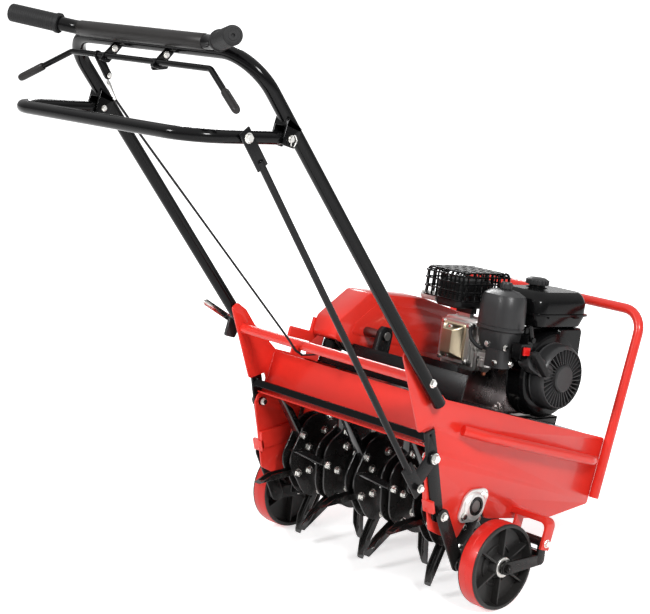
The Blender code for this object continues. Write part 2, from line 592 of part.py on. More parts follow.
# Drive: a chain down to the drum, a layshaft, a belt from the engine and a sprung idler
CHAIN_X = (-213.5, -209.5)
BELT_X = (-155.0, -147.0)
SPROCKET_R = 48.0
JACK_SPROCKET_R = 22.0
JACK_PULLEY_R = 50.0
ENGINE_PULLEY_R = 27.0


def loop(a, ra, b, rb, thick, x0, x1):
    """A belt round two circles: the hull of both, hollowed."""
    def hull(extra):
        d = Vector(b) - Vector(a)
        base = math.atan2(d.y, d.x)
        open_by = math.acos((ra - rb) / d.length)
        out = []
        for centre, r, first, last in ((a, ra + extra, base + open_by, base - open_by + 2 * math.pi),
                                       (b, rb + extra, base - open_by, base + open_by)):
            steps = 14 if r > 40 else 9
            for i in range(steps + 1):
                t = first + (last - first) * i / steps
                out.append((centre[0] + r * math.cos(t), centre[1] + r * math.sin(t)))
        return out
    return [prism(hull(thick), x0, x1)], [prism(hull(0.0), x0 - 5.0, x1 + 5.0)]


chain, chain_cut = loop((0.0, 0.0), SPROCKET_R + 1.0, JACK_AXIS, JACK_SPROCKET_R + 1.0, 5.0, *CHAIN_X)
solid("drive_chain", chain, chassis, "dark", chain_cut)
belt, belt_cut = loop(JACK_AXIS, JACK_PULLEY_R - 5.0, ENGINE_AXIS, ENGINE_PULLEY_R - 5.0, 6.5, *BELT_X)
solid("drive_belt", belt, chassis, "rubber", belt_cut)


def pulley(outer):
    """The outline of a pulley with a V groove for the belt, hub to hub."""
    x0 = BELT_X[0] - 5.0
    x1 = BELT_X[1] + 5.0
    return [(x0, outer), (x0 + 3.0, outer), (BELT_X[0] - 0.7, outer - 6.5), (BELT_X[1] + 0.7, outer - 6.5),
            (x1 - 3.0, outer), (x1, outer)]


def stepped(x0, x1, r, sections):
    """A shaft from x0 to x1 with wider outlines along it."""
    profile = [(x0, 0.0), (x0, r)]
    for outline in sections:
        profile += [(outline[0][0], r)] + outline + [(outline[-1][0], r)]
    return profile + [(x1, r), (x1, 0.0)]


jack_sprocket = [(CHAIN_X[0] - 1.0, JACK_SPROCKET_R), (CHAIN_X[1] + 1.0, JACK_SPROCKET_R)]
jack = lathe(stepped(-217.0, -56.0, JACK_R, [jack_sprocket, pulley(JACK_PULLEY_R)]), JACK_AXIS, 24)
solid("layshaft", [jack], chassis, "steel", at=(0.0, *JACK_AXIS))
crank_end = lathe(stepped(-166.0, -58.3, 10.0, [pulley(ENGINE_PULLEY_R)]), ENGINE_AXIS, 24)
solid("engine_pulley", [crank_end], chassis, "steel", at=(0.0, *ENGINE_AXIS))
IDLER_AT = (112.0, 196.0)
idler = [web([(IDLER_PIVOT, 8.0), (IDLER_AT, 7.0)], -140, -136)]
idler.append(lathe(stepped(-157.0, -138.0, 5.0, [[(-156.0, 15.0), (-145.0, 15.0)]]), IDLER_AT, 20, 0.1))
idler.append(web([(IDLER_PIVOT, 7.5), (IDLER_TAIL, 4.5)], -139.7, -136.3))
idler.append(drum(-137.0, -126.0, SPRING_PIN_R, IDLER_TAIL, 10))
solid("idler_arm", idler, chassis, "dark", [drum(-150, -130, 4.0 + GAP, IDLER_PIVOT, 10)], (0.0, *IDLER_PIVOT))

# Return spring of the idler: a real coil with a hook at each end, its least gap printed
SPRING_X = -129.5
SPRING_R = 4.5
SPRING_WIRE = 0.8
SPRING_TURNS = 11
SPRING_PITCH = 2.6
HOOK_R = SPRING_PIN_R + SPRING_WIRE + 0.5
coil_start = (IDLER_TAIL[0] + SPRING_FRONT[0] - SPRING_TURNS * SPRING_PITCH) / 2.0
coil = []
for i in range(9):
    a = math.radians(-150.0 - 30.0 * i)
    coil.append((SPRING_X, IDLER_TAIL[0] + HOOK_R * math.cos(a), IDLER_TAIL[1] + HOOK_R * math.sin(a)))
coil.append((SPRING_X, coil_start - 3.0, IDLER_TAIL[1] + SPRING_R - 0.6))
for i in range(SPRING_TURNS * 8 + 1):
    a = math.pi / 2.0 + 2.0 * math.pi * i / 8.0
    coil.append((SPRING_X + SPRING_R * math.cos(a), coil_start + SPRING_PITCH * i / 8.0,
                 IDLER_TAIL[1] + SPRING_R * math.sin(a)))
coil.append((SPRING_X, coil_start + SPRING_TURNS * SPRING_PITCH + 3.0, IDLER_TAIL[1] + SPRING_R - 0.6))
for i in range(9):
    a = math.radians(90.0 - 30.0 * i)
    coil.append((SPRING_X, SPRING_FRONT[0] + HOOK_R * math.cos(a), SPRING_FRONT[1] + HOOK_R * math.sin(a)))
solid("idler_spring", [tube(coil, SPRING_WIRE, 5)], chassis, "steel")
print("idler spring least gap", round(SPRING_PITCH - 2.0 * SPRING_WIRE, 2), "mm")

# Belt guard: a folded steel cover, open below, with holes for the layshaft and the crankshaft
guard_out = [(-110, 226), (-110, 269.5), (-46, 338), (115, 359), (250, 352), (304, 318), (304, 240), (150, 226)]
guard_in = [(-107.5, 200), (-107.5, 268.5), (-44.8, 335.5), (115, 356.4), (249, 349.5), (301.5, 316.6), (301.5, 200)]
guard = [prism(guard_out, -186, -118), box(-196, -185, -110, -60, 229, 262)]
guard_cuts = [prism(guard_in, -183.5, -120.5)]
guard_cuts.append(drum(-190, -110, JACK_R + 2.0, JACK_AXIS, 16))
guard_cuts.append(drum(-125, -110, 13.0, ENGINE_AXIS, 16))
solid("belt_guard", guard, chassis, "red", guard_cuts)

CAP_AT = (78.0, 4.0)
THROTTLE_AT = (-99.0, 77.0)

# Engine, in its own frame: x to the right, y forward, z up, origin on the crankshaft
case = [(-78, -88), (84, -88), (86, -30), (70, 52), (30, 66), (-60, 62), (-82, 20)]
block = [prism(case, -58, 105), box(-34, 46, -128, -55, -2, 84)]
for k in range(6):
    block.append(box(-42, 54, -74 - 10 * k, -71.5 - 10 * k, -10, 92))
block.append(box(-20, 12, -112, -100, 84, 100))
solid("engine_block", block, engine, "steel")
head = [box(-32, 46, -144, -128.3, 4, 86)]
cover_outline = [(-143, 12), (-143, 80), (-158, 78), (-168, 66), (-168, 24), (-158, 14)]
head.append(prism(cover_outline, -22, 34))
for x, z in ((-27, 9), (41, 9), (-27, 81), (41, 81)):
    head.append(along_y(drum(-3, 5, 4.0, sides=6), x, -146.0, z))
solid("cylinder_head", head, engine, "steel")
muffler = [box(-60, 16, -152, -48, 110, 166), box(-24, 16, -114, -98, 100.3, 112)]
muffler.append(drum(-84, -58, 8.0, (-142, 122), 12))
muffler += [along_z(drum(0, 18.5, 5.0, sides=8), x, y, 165) for x, y in ((-45, -138), (0, -62))]
solid("muffler", muffler, engine, "dark", [drum(-90, -66, 6.0, (-142, 122), 12)])
roof = [(-66, -160), (24, -160), (32, -150), (32, -48), (24, -38), (-66, -38), (-74, -48), (-74, -150)]
cage = [slab(roof, 184, 187)]
for x in (-74, -39, -5, 29):
    cage.append(box(x, x + 3, -168, -165, 134, 180))
    cage.append(box(x, x + 3, -168, -155, 178, 186))
    cage.append(box(x, x + 3, -40, -28, 178, 186))
for y in (-168, -133, -98, -64, -31):
    cage.append(box(-78, -75, y, y + 3, 134, 180))
    cage.append(box(-78, -70, y, y + 3, 178, 186))
for z in (134, 156, 178):
    cage.append(box(-78, 32, -168, -165.5, z, z + 2.5))
    cage.append(box(-78, -75.5, -168, -28, z, z + 2.5))
cage.append(box(-78, 32, -31, -28, 178, 180.5))
solid("muffler_guard", cage, engine, "black")


def pad(x0, x1, y0, y1, z0, z1, cut=12.0):
    """A block with its upright corners cut."""
    return slab([(x0 + cut, y0), (x1 - cut, y0), (x1, y0 + cut), (x1, y1 - cut), (x1 - cut, y1), (x0 + cut, y1),
                 (x0, y1 - cut), (x0, y0 + cut)], z0, z1)


def taper(x0, x1, y0, y1, z0, z1, inset, cut=12.0):
    """The same block drawn in towards its top."""
    n = 8
    rings = []
    for d, z in ((0.0, z0), (inset, z1)):
        a, b, c, e = x0 + d, x1 - d, y0 + d, y1 - d
        rings += [(a + cut, c, z), (b - cut, c, z), (b, c + cut, z), (b, e - cut, z), (b - cut, e, z), (a + cut, e, z),
                  (a, e - cut, z), (a, c + cut, z)]
    faces = [tuple(range(n)), tuple(range(2 * n - 1, n - 1, -1))]
    faces += [(i, (i + 1) % n, n + (i + 1) % n, n + i) for i in range(n)]
    return piece(rings, faces)


filter_low = [pad(64, 136, -148, -86, 60, 85.7, 16), pad(96, 136, -147, -118, 14, 62, 8)]
solid("air_filter_base", filter_low, engine, "dark")
lid = [pad(62, 138, -150, -85, 86, 148, 18), taper(62, 138, -150, -85, 147.9, 166, 12, 16)]
lid.append(along_z(drum(-0.5, 10, 9.0, sides=10), 100, -117, 166))
solid("air_filter_cover", lid, engine, "dark")
bowl = lathe([(-20, 0), (-20, 5), (-12, 5), (-12, 8), (-2, 15), (16, 15), (16, 0)], sides=16)
carb = [box(54.5, 95.5, -126, -106, 22, 58), along_z(bowl, 73, -118, 8)]
solid("carburettor", carb, engine, "steel")
lead = [(50.4, -140, 84), (56, -156, 76), (66, -162, 62), (80, -158, 50), (91, -152, 46)]
solid("breather_hose", [tube(rounded(lead, 10.0, 2), 4.0, 8)], engine, "rubber")
tank = [taper(44, 152, -70, 78, 96, 122, -6, 24), pad(36, 164, -82, 90, 121.5, 126, 28)]
tank.append(pad(42, 158, -76, 84, 125.5, 150, 26))
tank.append(taper(42, 158, -76, 84, 149.9, 168, 11, 24))
tank.append(along_z(drum(-1, 6, 17.0, sides=16), *CAP_AT, 167))
solid("fuel_tank", tank, engine, "black")
cap = [along_z(lathe([(0, 0), (0, 24), (10, 24), (14, 20), (14, 0)], sides=24), *CAP_AT, 173.4)]
solid("fuel_cap", cap, engine, "black", at=(*CAP_AT, 173.4))
blower = [drum(105.3, 149, 90.0, sides=32), box(112, 148, 8, 84, 30, 95.4), box(112, 148.5, -115, -60, 30, 58)]
blower += [box(140, 160, -115, -106, 34, 58), box(149, 172, -134, -107, 40, 70), box(142, 165, -107, -91, 57, 86)]
solid("blower_housing", blower, engine, "black", [drum(150, 170, 3.0 + GAP, THROTTLE_AT, 10)])
recoil = [lathe([(149.3, 0), (149.3, 68), (172, 66), (182, 56), (182, 30), (186, 28), (186, 0)], (-2, 0), 28)]
recoil.append(bar((-46, 12), (-96, 36), 17.0, 149.3, 178))
solid("recoil_cover", recoil, engine, "black")
pull_at = (-92.0, 33.0)
pull = [bar((-112, 52), (-74, 15), 7.5, 184, 199), drum(178.3, 186, 5.0, pull_at, 10)]
solid("starter_grip", pull, engine, "rubber", at=(178.3, *pull_at))
throttle = [web([(THROTTLE_AT, 6.0), ((-109, 101), 5.0)], 167, 170), drum(152, 168, 3.0, THROTTLE_AT, 8)]
solid("throttle_lever", throttle, engine, "steel", at=(0.0, *THROTTLE_AT))
rocker = [(172.3, -120.5), (172.3, -128), (176, -128), (176.6, -120.5), (178.6, -113), (174.6, -113)]
solid("engine_switch", [slab(rocker, 48, 64)], engine, "red", at=(172.3, -120.5, 56.0))
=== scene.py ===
from math import acos, atan2, cos, pi, radians, sin, tan

import bmesh
import bpy
from mathutils import Matrix, Vector


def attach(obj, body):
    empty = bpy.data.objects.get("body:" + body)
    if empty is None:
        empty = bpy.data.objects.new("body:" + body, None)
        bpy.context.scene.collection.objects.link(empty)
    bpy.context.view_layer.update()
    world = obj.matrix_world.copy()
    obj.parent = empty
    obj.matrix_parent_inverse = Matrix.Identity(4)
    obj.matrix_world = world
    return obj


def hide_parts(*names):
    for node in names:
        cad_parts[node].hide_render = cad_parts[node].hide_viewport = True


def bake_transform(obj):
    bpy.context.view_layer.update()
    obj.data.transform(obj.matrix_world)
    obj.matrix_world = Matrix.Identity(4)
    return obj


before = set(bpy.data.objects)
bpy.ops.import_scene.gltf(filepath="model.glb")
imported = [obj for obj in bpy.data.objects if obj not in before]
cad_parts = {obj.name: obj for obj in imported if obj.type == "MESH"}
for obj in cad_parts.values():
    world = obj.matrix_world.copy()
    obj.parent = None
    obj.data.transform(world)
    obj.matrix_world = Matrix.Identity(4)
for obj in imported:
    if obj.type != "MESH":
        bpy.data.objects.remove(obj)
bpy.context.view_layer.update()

# The camera stands behind the machine's right corner, a little above the handle, and looks slightly down.
# Its lens and place were solved from the handle's legs, the wheels and the tine tips.
into_scene = bpy.context.scene.collection.objects.link
camera = bpy.data.objects.new("camera", bpy.data.cameras.new("camera"))
into_scene(camera)
camera.location = (2.2387, -2.1515, 1.3284)
camera.rotation_euler = (radians(75.77), 0, radians(47.11))
camera.data.lens = 94.15
camera.data.sensor_width = 36
camera.data.clip_end = 60
bpy.context.scene.camera = camera
bpy.context.scene.view_settings.view_transform = "Standard"

# A white studio sweep: pale floor and world, both plain white to the camera. Glossy surfaces mirror the sky
# dimmer towards the horizon, and the floor dimmer everywhere, so that black and metal keep their shading.


def filled(tree, made, feeds):
    """Fill a node's inputs with values, or with the outputs of other nodes."""
    for socket, source in feeds.items():
        if isinstance(source, bpy.types.NodeSocket):
            tree.links.new(source, made.inputs[socket])
        else:
            made.inputs[socket].default_value = source
    return made


def node(tree, kind, feeds, operation=None):
    """Add a shader node with its inputs filled."""
    made = tree.nodes.new("ShaderNode" + kind)
    if operation:
        made.operation = operation
    return filled(tree, made, feeds)


WHITE = (1, 1, 1, 1)
REACH = 14
floor = bpy.data.objects.new("studio_floor", bpy.data.meshes.new("studio_floor"))
into_scene(floor)
floor.data.from_pydata([(-REACH, -REACH, 0), (REACH, -REACH, 0), (REACH, REACH, 0), (-REACH, REACH, 0)], [],
    [(0, 1, 2, 3)])
paper = bpy.data.materials.new("studio_paper")
paper.use_nodes = True
tree = paper.node_tree
seen = node(tree, "LightPath", {}).outputs
dimmed = node(tree, "Math", {0: seen["Is Glossy Ray"], 1: 0.6}, "MULTIPLY")
plain = node(tree, "Math", {0: seen["Is Camera Ray"], 1: dimmed.outputs[0]}, "MAXIMUM")
plain = node(tree, "Math", {0: plain.outputs[0], 1: seen["Is Transmission Ray"]}, "MAXIMUM")
spot = node(tree, "TexCoord", {})
away = node(tree, "VectorMath", {0: spot.outputs["Object"]}, "LENGTH")
fade = node(tree, "MapRange", {"Value": away.outputs["Value"], "From Min": 0.5, "From Max": 1.6, "To Min": 0.62,
    "To Max": 1})
glow = node(tree, "Math", {0: plain.outputs[0], 1: fade.outputs["Result"]}, "MULTIPLY")
filled(tree, tree.nodes["Principled BSDF"], {"Base Color": (0.93, 0.93, 0.93, 1), "Roughness": 0.9,
    "Emission Color": WHITE, "Emission Strength": glow.outputs[0]})
floor.data.materials.append(paper)

world = bpy.data.worlds.new("studio")
bpy.context.scene.world = world
world.use_nodes = True
tree = world.node_tree
seen = node(tree, "LightPath", {}).outputs
spot = node(tree, "TexCoord", {})
upward = node(tree, "SeparateXYZ", {"Vector": spot.outputs["Generated"]})
overhead = node(tree, "MapRange", {"Value": upward.outputs["Z"], "From Min": 0.15, "From Max": 0.8})
mirrored = node(tree, "Math", {0: seen["Is Glossy Ray"], 1: overhead.outputs["Result"]}, "MULTIPLY")
plain = node(tree, "Math", {0: seen["Is Camera Ray"], 1: seen["Is Transmission Ray"]}, "MAXIMUM")
plain = node(tree, "Math", {0: plain.outputs[0], 1: mirrored.outputs[0]}, "MAXIMUM")
strength = node(tree, "MapRange", {"Value": plain.outputs[0], "To Min": 0.34, "To Max": 1})
filled(tree, tree.nodes["Background"], {"Color": WHITE, "Strength": strength.outputs["Result"]})

for lamp_name, place, aim, size, power in (
    ("key_softbox", (2.7, -1, 2.6), (0, 0.1, 0.4), 0.7, 84),
    ("rear_softbox", (-1, -3.2, 2.6), (0, 0, 0.5), 0.7, 66),
    ("rim_strip", (-2.6, 2.2, 2.2), (0, 0.2, 0.5), 0.8, 36),
):
    lamp = bpy.data.lights.new(lamp_name, "AREA")
    lamp.size = size
    lamp.energy = power
    stand = bpy.data.objects.new(lamp_name, lamp)
    into_scene(stand)
    stand.location = place
    stand.rotation_euler = (Vector(aim) - Vector(place)).to_track_quat("-Z", "Y").to_euler()

# Side panels: 4 mm steel, laser cut and powder coated red, with the stop rail of the lift crank welded inside
# and the folded bracket of the wheel fork outside. Sizes from here on are millimetres in the chassis frame
# (x right, y forward, z up from the drum's axis), which leans nose down onto its wheels.


def about_x(angle, x=0, y=0, z=0):
    """A turn about the x axis, then a move."""
    return Matrix.Translation((x, y, z)) @ Matrix.Rotation(angle, 4, "X")


NOSE_DOWN = radians(-21)
MM = 0.001
CHASSIS = about_x(NOSE_DOWN, 0, 0.0839, 0.188675) @ Matrix.Scale(MM, 4)
SIDES = (-1, 1)
PANEL_IN = 231
PANEL_OUT = 235


def soften(outline, radius, steps=4):
    """Round every corner of a flat outline."""
    out = []
    count = len(outline)
    for i in range(count):
        here = Vector(outline[i])
        before = Vector(outline[i - 1]) - here
        after = Vector(outline[(i + 1) % count]) - here
        half = before.angle(after) / 2
        if half > 1.53:
            out.append(tuple(here))
            continue
        run = min(radius / tan(half), before.length * 0.45, after.length * 0.45)
        a = here + before.normalized() * run
        b = here + after.normalized() * run
        for k in range(steps + 1):
            t = k / steps
            out.append(tuple(a * (1 - t) ** 2 + here * 2 * t * (1 - t) + b * t * t))
    return out


def polar(radius, angle, y=0, z=0):
    """The point at an angle on a circle about (y, z)."""
    return y + radius * cos(angle), z + radius * sin(angle)


def circle(y, z, radius, steps=24):
    return [polar(radius, 2 * pi * k / steps, y, z) for k in range(steps)]


def cut_plate(outlines, x0, x1, edge=0.5):
    """Sheet metal cut to (y, z) outlines, the inner ones being holes, with its edges broken."""
    curve = bpy.data.curves.new("cut", "CURVE")
    curve.dimensions = "2D"
    curve.fill_mode = "BOTH"
    edge = min(edge, (x1 - x0) * 0.45)
    curve.extrude = (x1 - x0) / 2 - edge
    curve.bevel_depth = edge
    curve.bevel_resolution = 1
    curve.offset = -edge
    for outline in outlines:
        spline = curve.splines.new("POLY")
        spline.points.add(len(outline) - 1)
        for point, (a, b) in zip(spline.points, outline):
            point.co = (a, b, 0, 1)
        spline.use_cyclic_u = True
    holder = bpy.data.objects.new("cut", curve)
    into_scene(holder)
    graph = bpy.context.evaluated_depsgraph_get()
    mesh = bpy.data.meshes.new_from_object(holder.evaluated_get(graph))
    plate = bmesh.new()
    plate.from_mesh(mesh)
    bpy.data.objects.remove(holder)
    bpy.data.curves.remove(curve)
    bpy.data.meshes.remove(mesh)
    bmesh.ops.remove_doubles(plate, verts=plate.verts, dist=0.001)
    upright = Matrix(((0, 0, 1, (x0 + x1) / 2), (1, 0, 0, 0), (0, 1, 0, 0), (0, 0, 0, 1)))
    bmesh.ops.transform(plate, matrix=upright, verts=plate.verts)
    return plate


def skinned(made, rings, closed=False, capped=True):
    """Faces between neighbouring rings of points, then a cap at each end or a way round to the first ring."""
    pairs = list(zip(rings, rings[1:]))
    if closed:
        pairs.append((rings[-1], rings[0]))
    for a, b in pairs:
        for k in range(len(a)):
            j = (k + 1) % len(a)
            made.faces.new(tuple(dict.fromkeys((a[k], a[j], b[j], b[k]))))
    if capped and not closed:
        made.faces.new(rings[0])
        made.faces.new(rings[-1])
    bmesh.ops.recalc_face_normals(made, faces=made.faces)
    return made


def turned(profile, y=0, z=0, sides=40):
    """A piece turned about the x axis: (x, radius) points, its ends closed where they meet the axis."""
    made = bmesh.new()
    rings = []
    for x, r in profile:
        if r == 0:
            rings.append([made.verts.new((x, y, z))] * sides)
            continue
        rings.append([made.verts.new((x, *polar(r, 2 * pi * k / sides, y, z))) for k in range(sides)])
    return skinned(made, rings, profile[0][1] != 0 and profile[-1][1] != 0, False)


def pin(x0, x1, radius, y=0, z=0, sides=40, bore=0):
    """A round pin from x0 to x1, or a tube when it has a bore."""
    return turned([(x0, bore), (x0, radius), (x1, radius), (x1, bore)], y, z, sides)


def placed(piece, matrix):
    """Move a piece by a matrix, with its faces turned the right way round after a mirroring."""
    bmesh.ops.transform(piece, matrix=matrix, verts=piece.verts)
    if matrix.determinant() < 0:
        bmesh.ops.reverse_faces(piece, faces=piece.faces)
    return piece


def on_side(piece, side):
    """The same piece on the machine's left (-1) or right (1)."""
    return placed(piece, Matrix.Scale(side, 4, (1, 0, 0))) if side < 0 else piece


def block(x0, x1, y0, y1, z0, z1):
    return cut_plate([[(y0, z0), (y1, z0), (y1, z1), (y0, z1)]], x0, x1, 0)


def fitted(name, pieces, finish, stands_for=None, body="chassis", side=0, slot=None, edge=0, frame_of=CHASSIS):
    """Join pieces into one part, bring it into the machine, and let it move with its body.

    A part with a side is given as the right one. It is mirrored for the left, and _left or _right is added to
    its name, to its node's name, and to its body's unless that is the chassis.
    """
    if side:
        pieces = [on_side(piece, side) for piece in pieces]
        which = "_left" if side < 0 else "_right"
        name += which
        stands_for = stands_for and stands_for + which
        body = body if body == "chassis" else body + which
    whole = bmesh.new()
    for piece in pieces:
        mesh = bpy.data.meshes.new("piece")
        piece.to_mesh(mesh)
        piece.free()
        whole.from_mesh(mesh)
        bpy.data.meshes.remove(mesh)
    bmesh.ops.transform(whole, matrix=frame_of, verts=whole.verts)
    mesh = bpy.data.meshes.new(name)
    whole.to_mesh(mesh)
    whole.free()
    mesh.polygons.foreach_set("use_smooth", [True] * len(mesh.polygons))
    mesh.set_sharp_from_angle(angle=radians(32))
    material, usual_slot = finish
    mesh.materials.append(material)
    part = bpy.data.objects.new(name, mesh)
    into_scene(part)
    if edge:
        rounding = part.modifiers.new("broken_edges", "BEVEL")
        rounding.width = edge * MM
        rounding.segments = 2
        rounding.limit_method = "ANGLE"
        rounding.angle_limit = radians(40)
        rounding.harden_normals = True
    if body:
        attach(part, body)
    if stands_for:
        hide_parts(stands_for)
    return part


DUST = (0.42, 0.38, 0.33, 1)
DUST_TOP = 0.30


def coated(name, slot, colour, roughness, coat=0, metallic=0, mottle=0.06, grain=900, bump=0.03, dust=0.05,
        gleam=0.5):
    """A finish with its own fine grain, slight colour drift, and a little dust low on the machine."""
    material = bpy.data.materials.new(name)
    material.use_nodes = True
    tree = material.node_tree
    where = node(tree, "TexCoord", {}).outputs["Object"]
    drift = node(tree, "TexNoise", {"Vector": where, "Scale": 7, "Detail": 6, "Roughness": 0.65}).outputs["Fac"]
    tint = node(tree, "ValToRGB", {"Fac": drift})
    for stop, position, change in zip(tint.color_ramp.elements, (0.3, 0.7), (1 - mottle, 1 + mottle)):
        stop.position = position
        stop.color = [min(1, c * change) for c in colour] + [1]
    height = node(tree, "SeparateXYZ", {"Vector": where})
    low = node(tree, "MapRange", {"Value": height.outputs["Z"], "From Min": DUST_TOP, "From Max": 0,
        "To Min": 0, "To Max": dust})
    patchy = node(tree, "Math", {0: low.outputs["Result"], 1: drift}, "MULTIPLY")
    dusty = tree.nodes.new("ShaderNodeMix")
    dusty.data_type = "RGBA"
    filled(tree, dusty, {0: patchy.outputs[0], 6: tint.outputs["Color"], 7: DUST})
    fine = node(tree, "TexNoise", {"Vector": where, "Scale": grain, "Detail": 2})
    rough = node(tree, "MapRange", {"Value": drift, "To Min": max(0.03, roughness - 0.07),
        "To Max": min(1, roughness + 0.09)})
    relief = node(tree, "Bump", {"Height": fine.outputs["Fac"], "Strength": bump, "Distance": 0.0006})
    filled(tree, tree.nodes["Principled BSDF"],
        {"Base Color": dusty.outputs[2], "Roughness": rough.outputs["Result"],
        "Normal": relief.outputs["Normal"], "Metallic": metallic, "Coat Weight": coat, "Coat Roughness": 0.04,
        "Specular IOR Level": gleam})
    return material, slot


red_paint = coated("red_powder_coat", "red_paint", (0.79, 0.032, 0.020), 0.3, coat=0.35, bump=0.05, mottle=0.05,
    gleam=0.3)
zinc = coated("zinc_plate", "bare_steel", (0.82, 0.81, 0.78), 0.2, metallic=1, mottle=0.08, grain=500)
CRANK_PIVOT = (-150, 72)
FORK_PIVOT = (132, -36)
PANEL_EDGE = [(-291, 237), (-281, 250), (-254, 241), (-222, 217), (-150, 180), (354, 180), (354, 43), (237, 0),
    (60, -20), (46, -20), (36, -4), (18, 16), (-16, 16), (-20, 0), (-4, -14), (3, -19), (-16, -66), (-66, -66),
    (-101, -59), (-166, 66), (-164, 82), (-154, 92), (-154, 118), (-162, 129), (-198, 110)]


def strip(p, q, half, x0, x1, over=0, edge=0.5, round_ends=False):
    """A flat bar from p to q, half its width either side."""
    p, q = Vector(p), Vector(q)
    along = (q - p).normalized()
    across = Vector((-along.y, along.x)) * half
    if not round_ends:
        a, b = p - along * over, q + along * over
        return cut_plate([[tuple(a - across), tuple(b - across), tuple(b + across), tuple(a + across)]], x0, x1,
            edge)
    start = atan2(across.y, across.x)
    outline = [tuple(p + Vector((cos(start + a), sin(start + a))) * half)
        for a in [pi * k / 10 for k in range(11)]]
    outline += [tuple(q + Vector((cos(start + pi + a), sin(start + pi + a))) * half)
        for a in [pi * k / 10 for k in range(11)]]
    return cut_plate([outline], x0, x1, edge)


def hull_plate(circles, x0, x1, edge=0.8, holes=()):
    """Plate whose edge is stretched round circles, each ((y, z), radius)."""
    dots = sorted(dot for (y, z), r in circles for dot in circle(y, z, r, 40))
    outline = []
    for way in (dots, dots[::-1]):
        half = []
        for p in way:
            while len(half) > 1 and ((half[-1][0] - half[-2][0]) * (p[1] - half[-2][1])
                    - (half[-1][1] - half[-2][1]) * (p[0] - half[-2][0])) <= 1e-6:
                half.pop()
            half.append(p)
        outline += half[:-1]
    return cut_plate([outline, *holes], x0, x1, edge)


def hex_bolt(size, out=1, thread=0):
    """A hexagon head on its washer, standing out along +x from the origin."""
    across = size * 0.96
    base = size * 0.14
    top = base + size * 0.62
    pieces = [pin(0, base, size * 1.15, sides=28), turned([(base, 0), (base, across),
        (base + size * 0.62 * 0.82, across), (top, across * 0.84), (top, 0)], sides=6)]
    if thread:
        ridges = [(top, 0), (top, size * 0.5)]
        for k in range(int(thread / 0.8)):
            ridges += [(top + k * 0.8 + 0.4, size * 0.46), (top + k * 0.8 + 0.8, size * 0.5)]
        ridges.append((ridges[-1][0], 0))
        pieces.append(turned(ridges, sides=16))
    return [on_side(piece, out) for piece in pieces]


def bolts_at(places, size, out=1, thread=0):
    """The same bolt at several (x, y, z) places, each turned a little further."""
    return [placed(piece, about_x(0.4 + 0.7 * n, *place)) for n, place in enumerate(places)
        for piece in hex_bolt(size, out, thread)]


def weld_bead(path, radius=1.6):
    """A run of overlapping weld ripples along a straight path."""
    a, b = Vector(path[0]), Vector(path[1])
    count = max(3, int((b - a).length / 2.4))
    bead = bmesh.new()
    for k in range(count + 1):
        spot = a.lerp(b, k / count)
        bmesh.ops.create_icosphere(bead, subdivisions=1, radius=radius * (1 + 0.12 * sin(k * 2.3)),
            matrix=Matrix.Translation(spot))
    return bead


swap = Matrix(((0, 1, 0, 0), (1, 0, 0, 0), (0, 0, 1, 0), (0, 0, 0, 1)))
for side in SIDES:
    panel = [cut_plate([soften(PANEL_EDGE, 7), circle(*CRANK_PIVOT, 8.3)], PANEL_IN, PANEL_OUT, 0.7),
        strip((-128, -6), (-53, 26), 18, PANEL_IN - 8, PANEL_IN + 0.5, edge=1.2),
        strip((-127, -5.6), (-115, -26), 3, PANEL_IN - 8, PANEL_OUT + 15, edge=1)]
    y, z = FORK_PIVOT
    ear = soften([(y - 12, z - 13), (y + 12, z - 13), (y + 12, z + 45), (y - 12, z + 45)], 6)
    panel.append(cut_plate([ear], 246, 251, 0.8))
    fold = [(PANEL_OUT - 0.5, z + 36), (PANEL_OUT - 0.5, z + 48)]
    fold += [(312 + 15 * sin(k * pi / 16), z + 33 + 15 * cos(k * pi / 16)) for k in range(9)]
    fold += [(327, z - 13), (321, z - 13)]
    fold += [(309 + 12 * cos(k * pi / 16), z + 24 + 12 * sin(k * pi / 16)) for k in range(9)]
    panel += [placed(cut_plate([fold], y - 12, y + 12, 0.8), swap), weld_bead([(PANEL_OUT + 0.6, y - 11,
        z + 42.5), (PANEL_OUT + 0.6, y + 11, z + 42.5)]), weld_bead([(PANEL_IN - 0.6, -122, -22),
        (PANEL_IN - 0.6, -46, 9)])]
    fitted("panel", panel, red_paint, "side_panel", side=side)
    fork_pin = [pin(245, 330, 5, y, z, 20)]
    fork_pin += [placed(p, Matrix.Translation((327.2, y, z))) for p in hex_bolt(7)]
    fitted("fork_pin", fork_pin, zinc, side=side)

# Rear cross members: a folded cover that hides the drum's back, and the round stay above it with the
# tab that holds the clutch cable.
cover_fold = [(-168, 88), (-149, 88), (-149, 173), (-132, 173), (-132, 176), (-152, 176), (-152, 91),
    (-168, 91)]
END = PANEL_IN - 0.3
cover = [cut_plate([cover_fold], -END, END, 0.6)]
for side in SIDES:
    cover.append(weld_bead([(side * (END - 1), -153, 95), (side * (END - 1), -153, 172)], 1.4))
fitted("rear_cover_sheet", cover, red_paint, "rear_cover")
stay = [pin(-END, END, 9.5, -250, 204, 32), block(-66, -61.5, -269, -246, 184, 200)]
fitted("rear_stay", stay, red_paint, "rear_cross_tube")

# Front frame: a cross member with the cheeks of the small nose wheel, a round hoop in front of the engine,
# and a bumper tube welded along each panel. All bent or turned from mild steel and coated red.


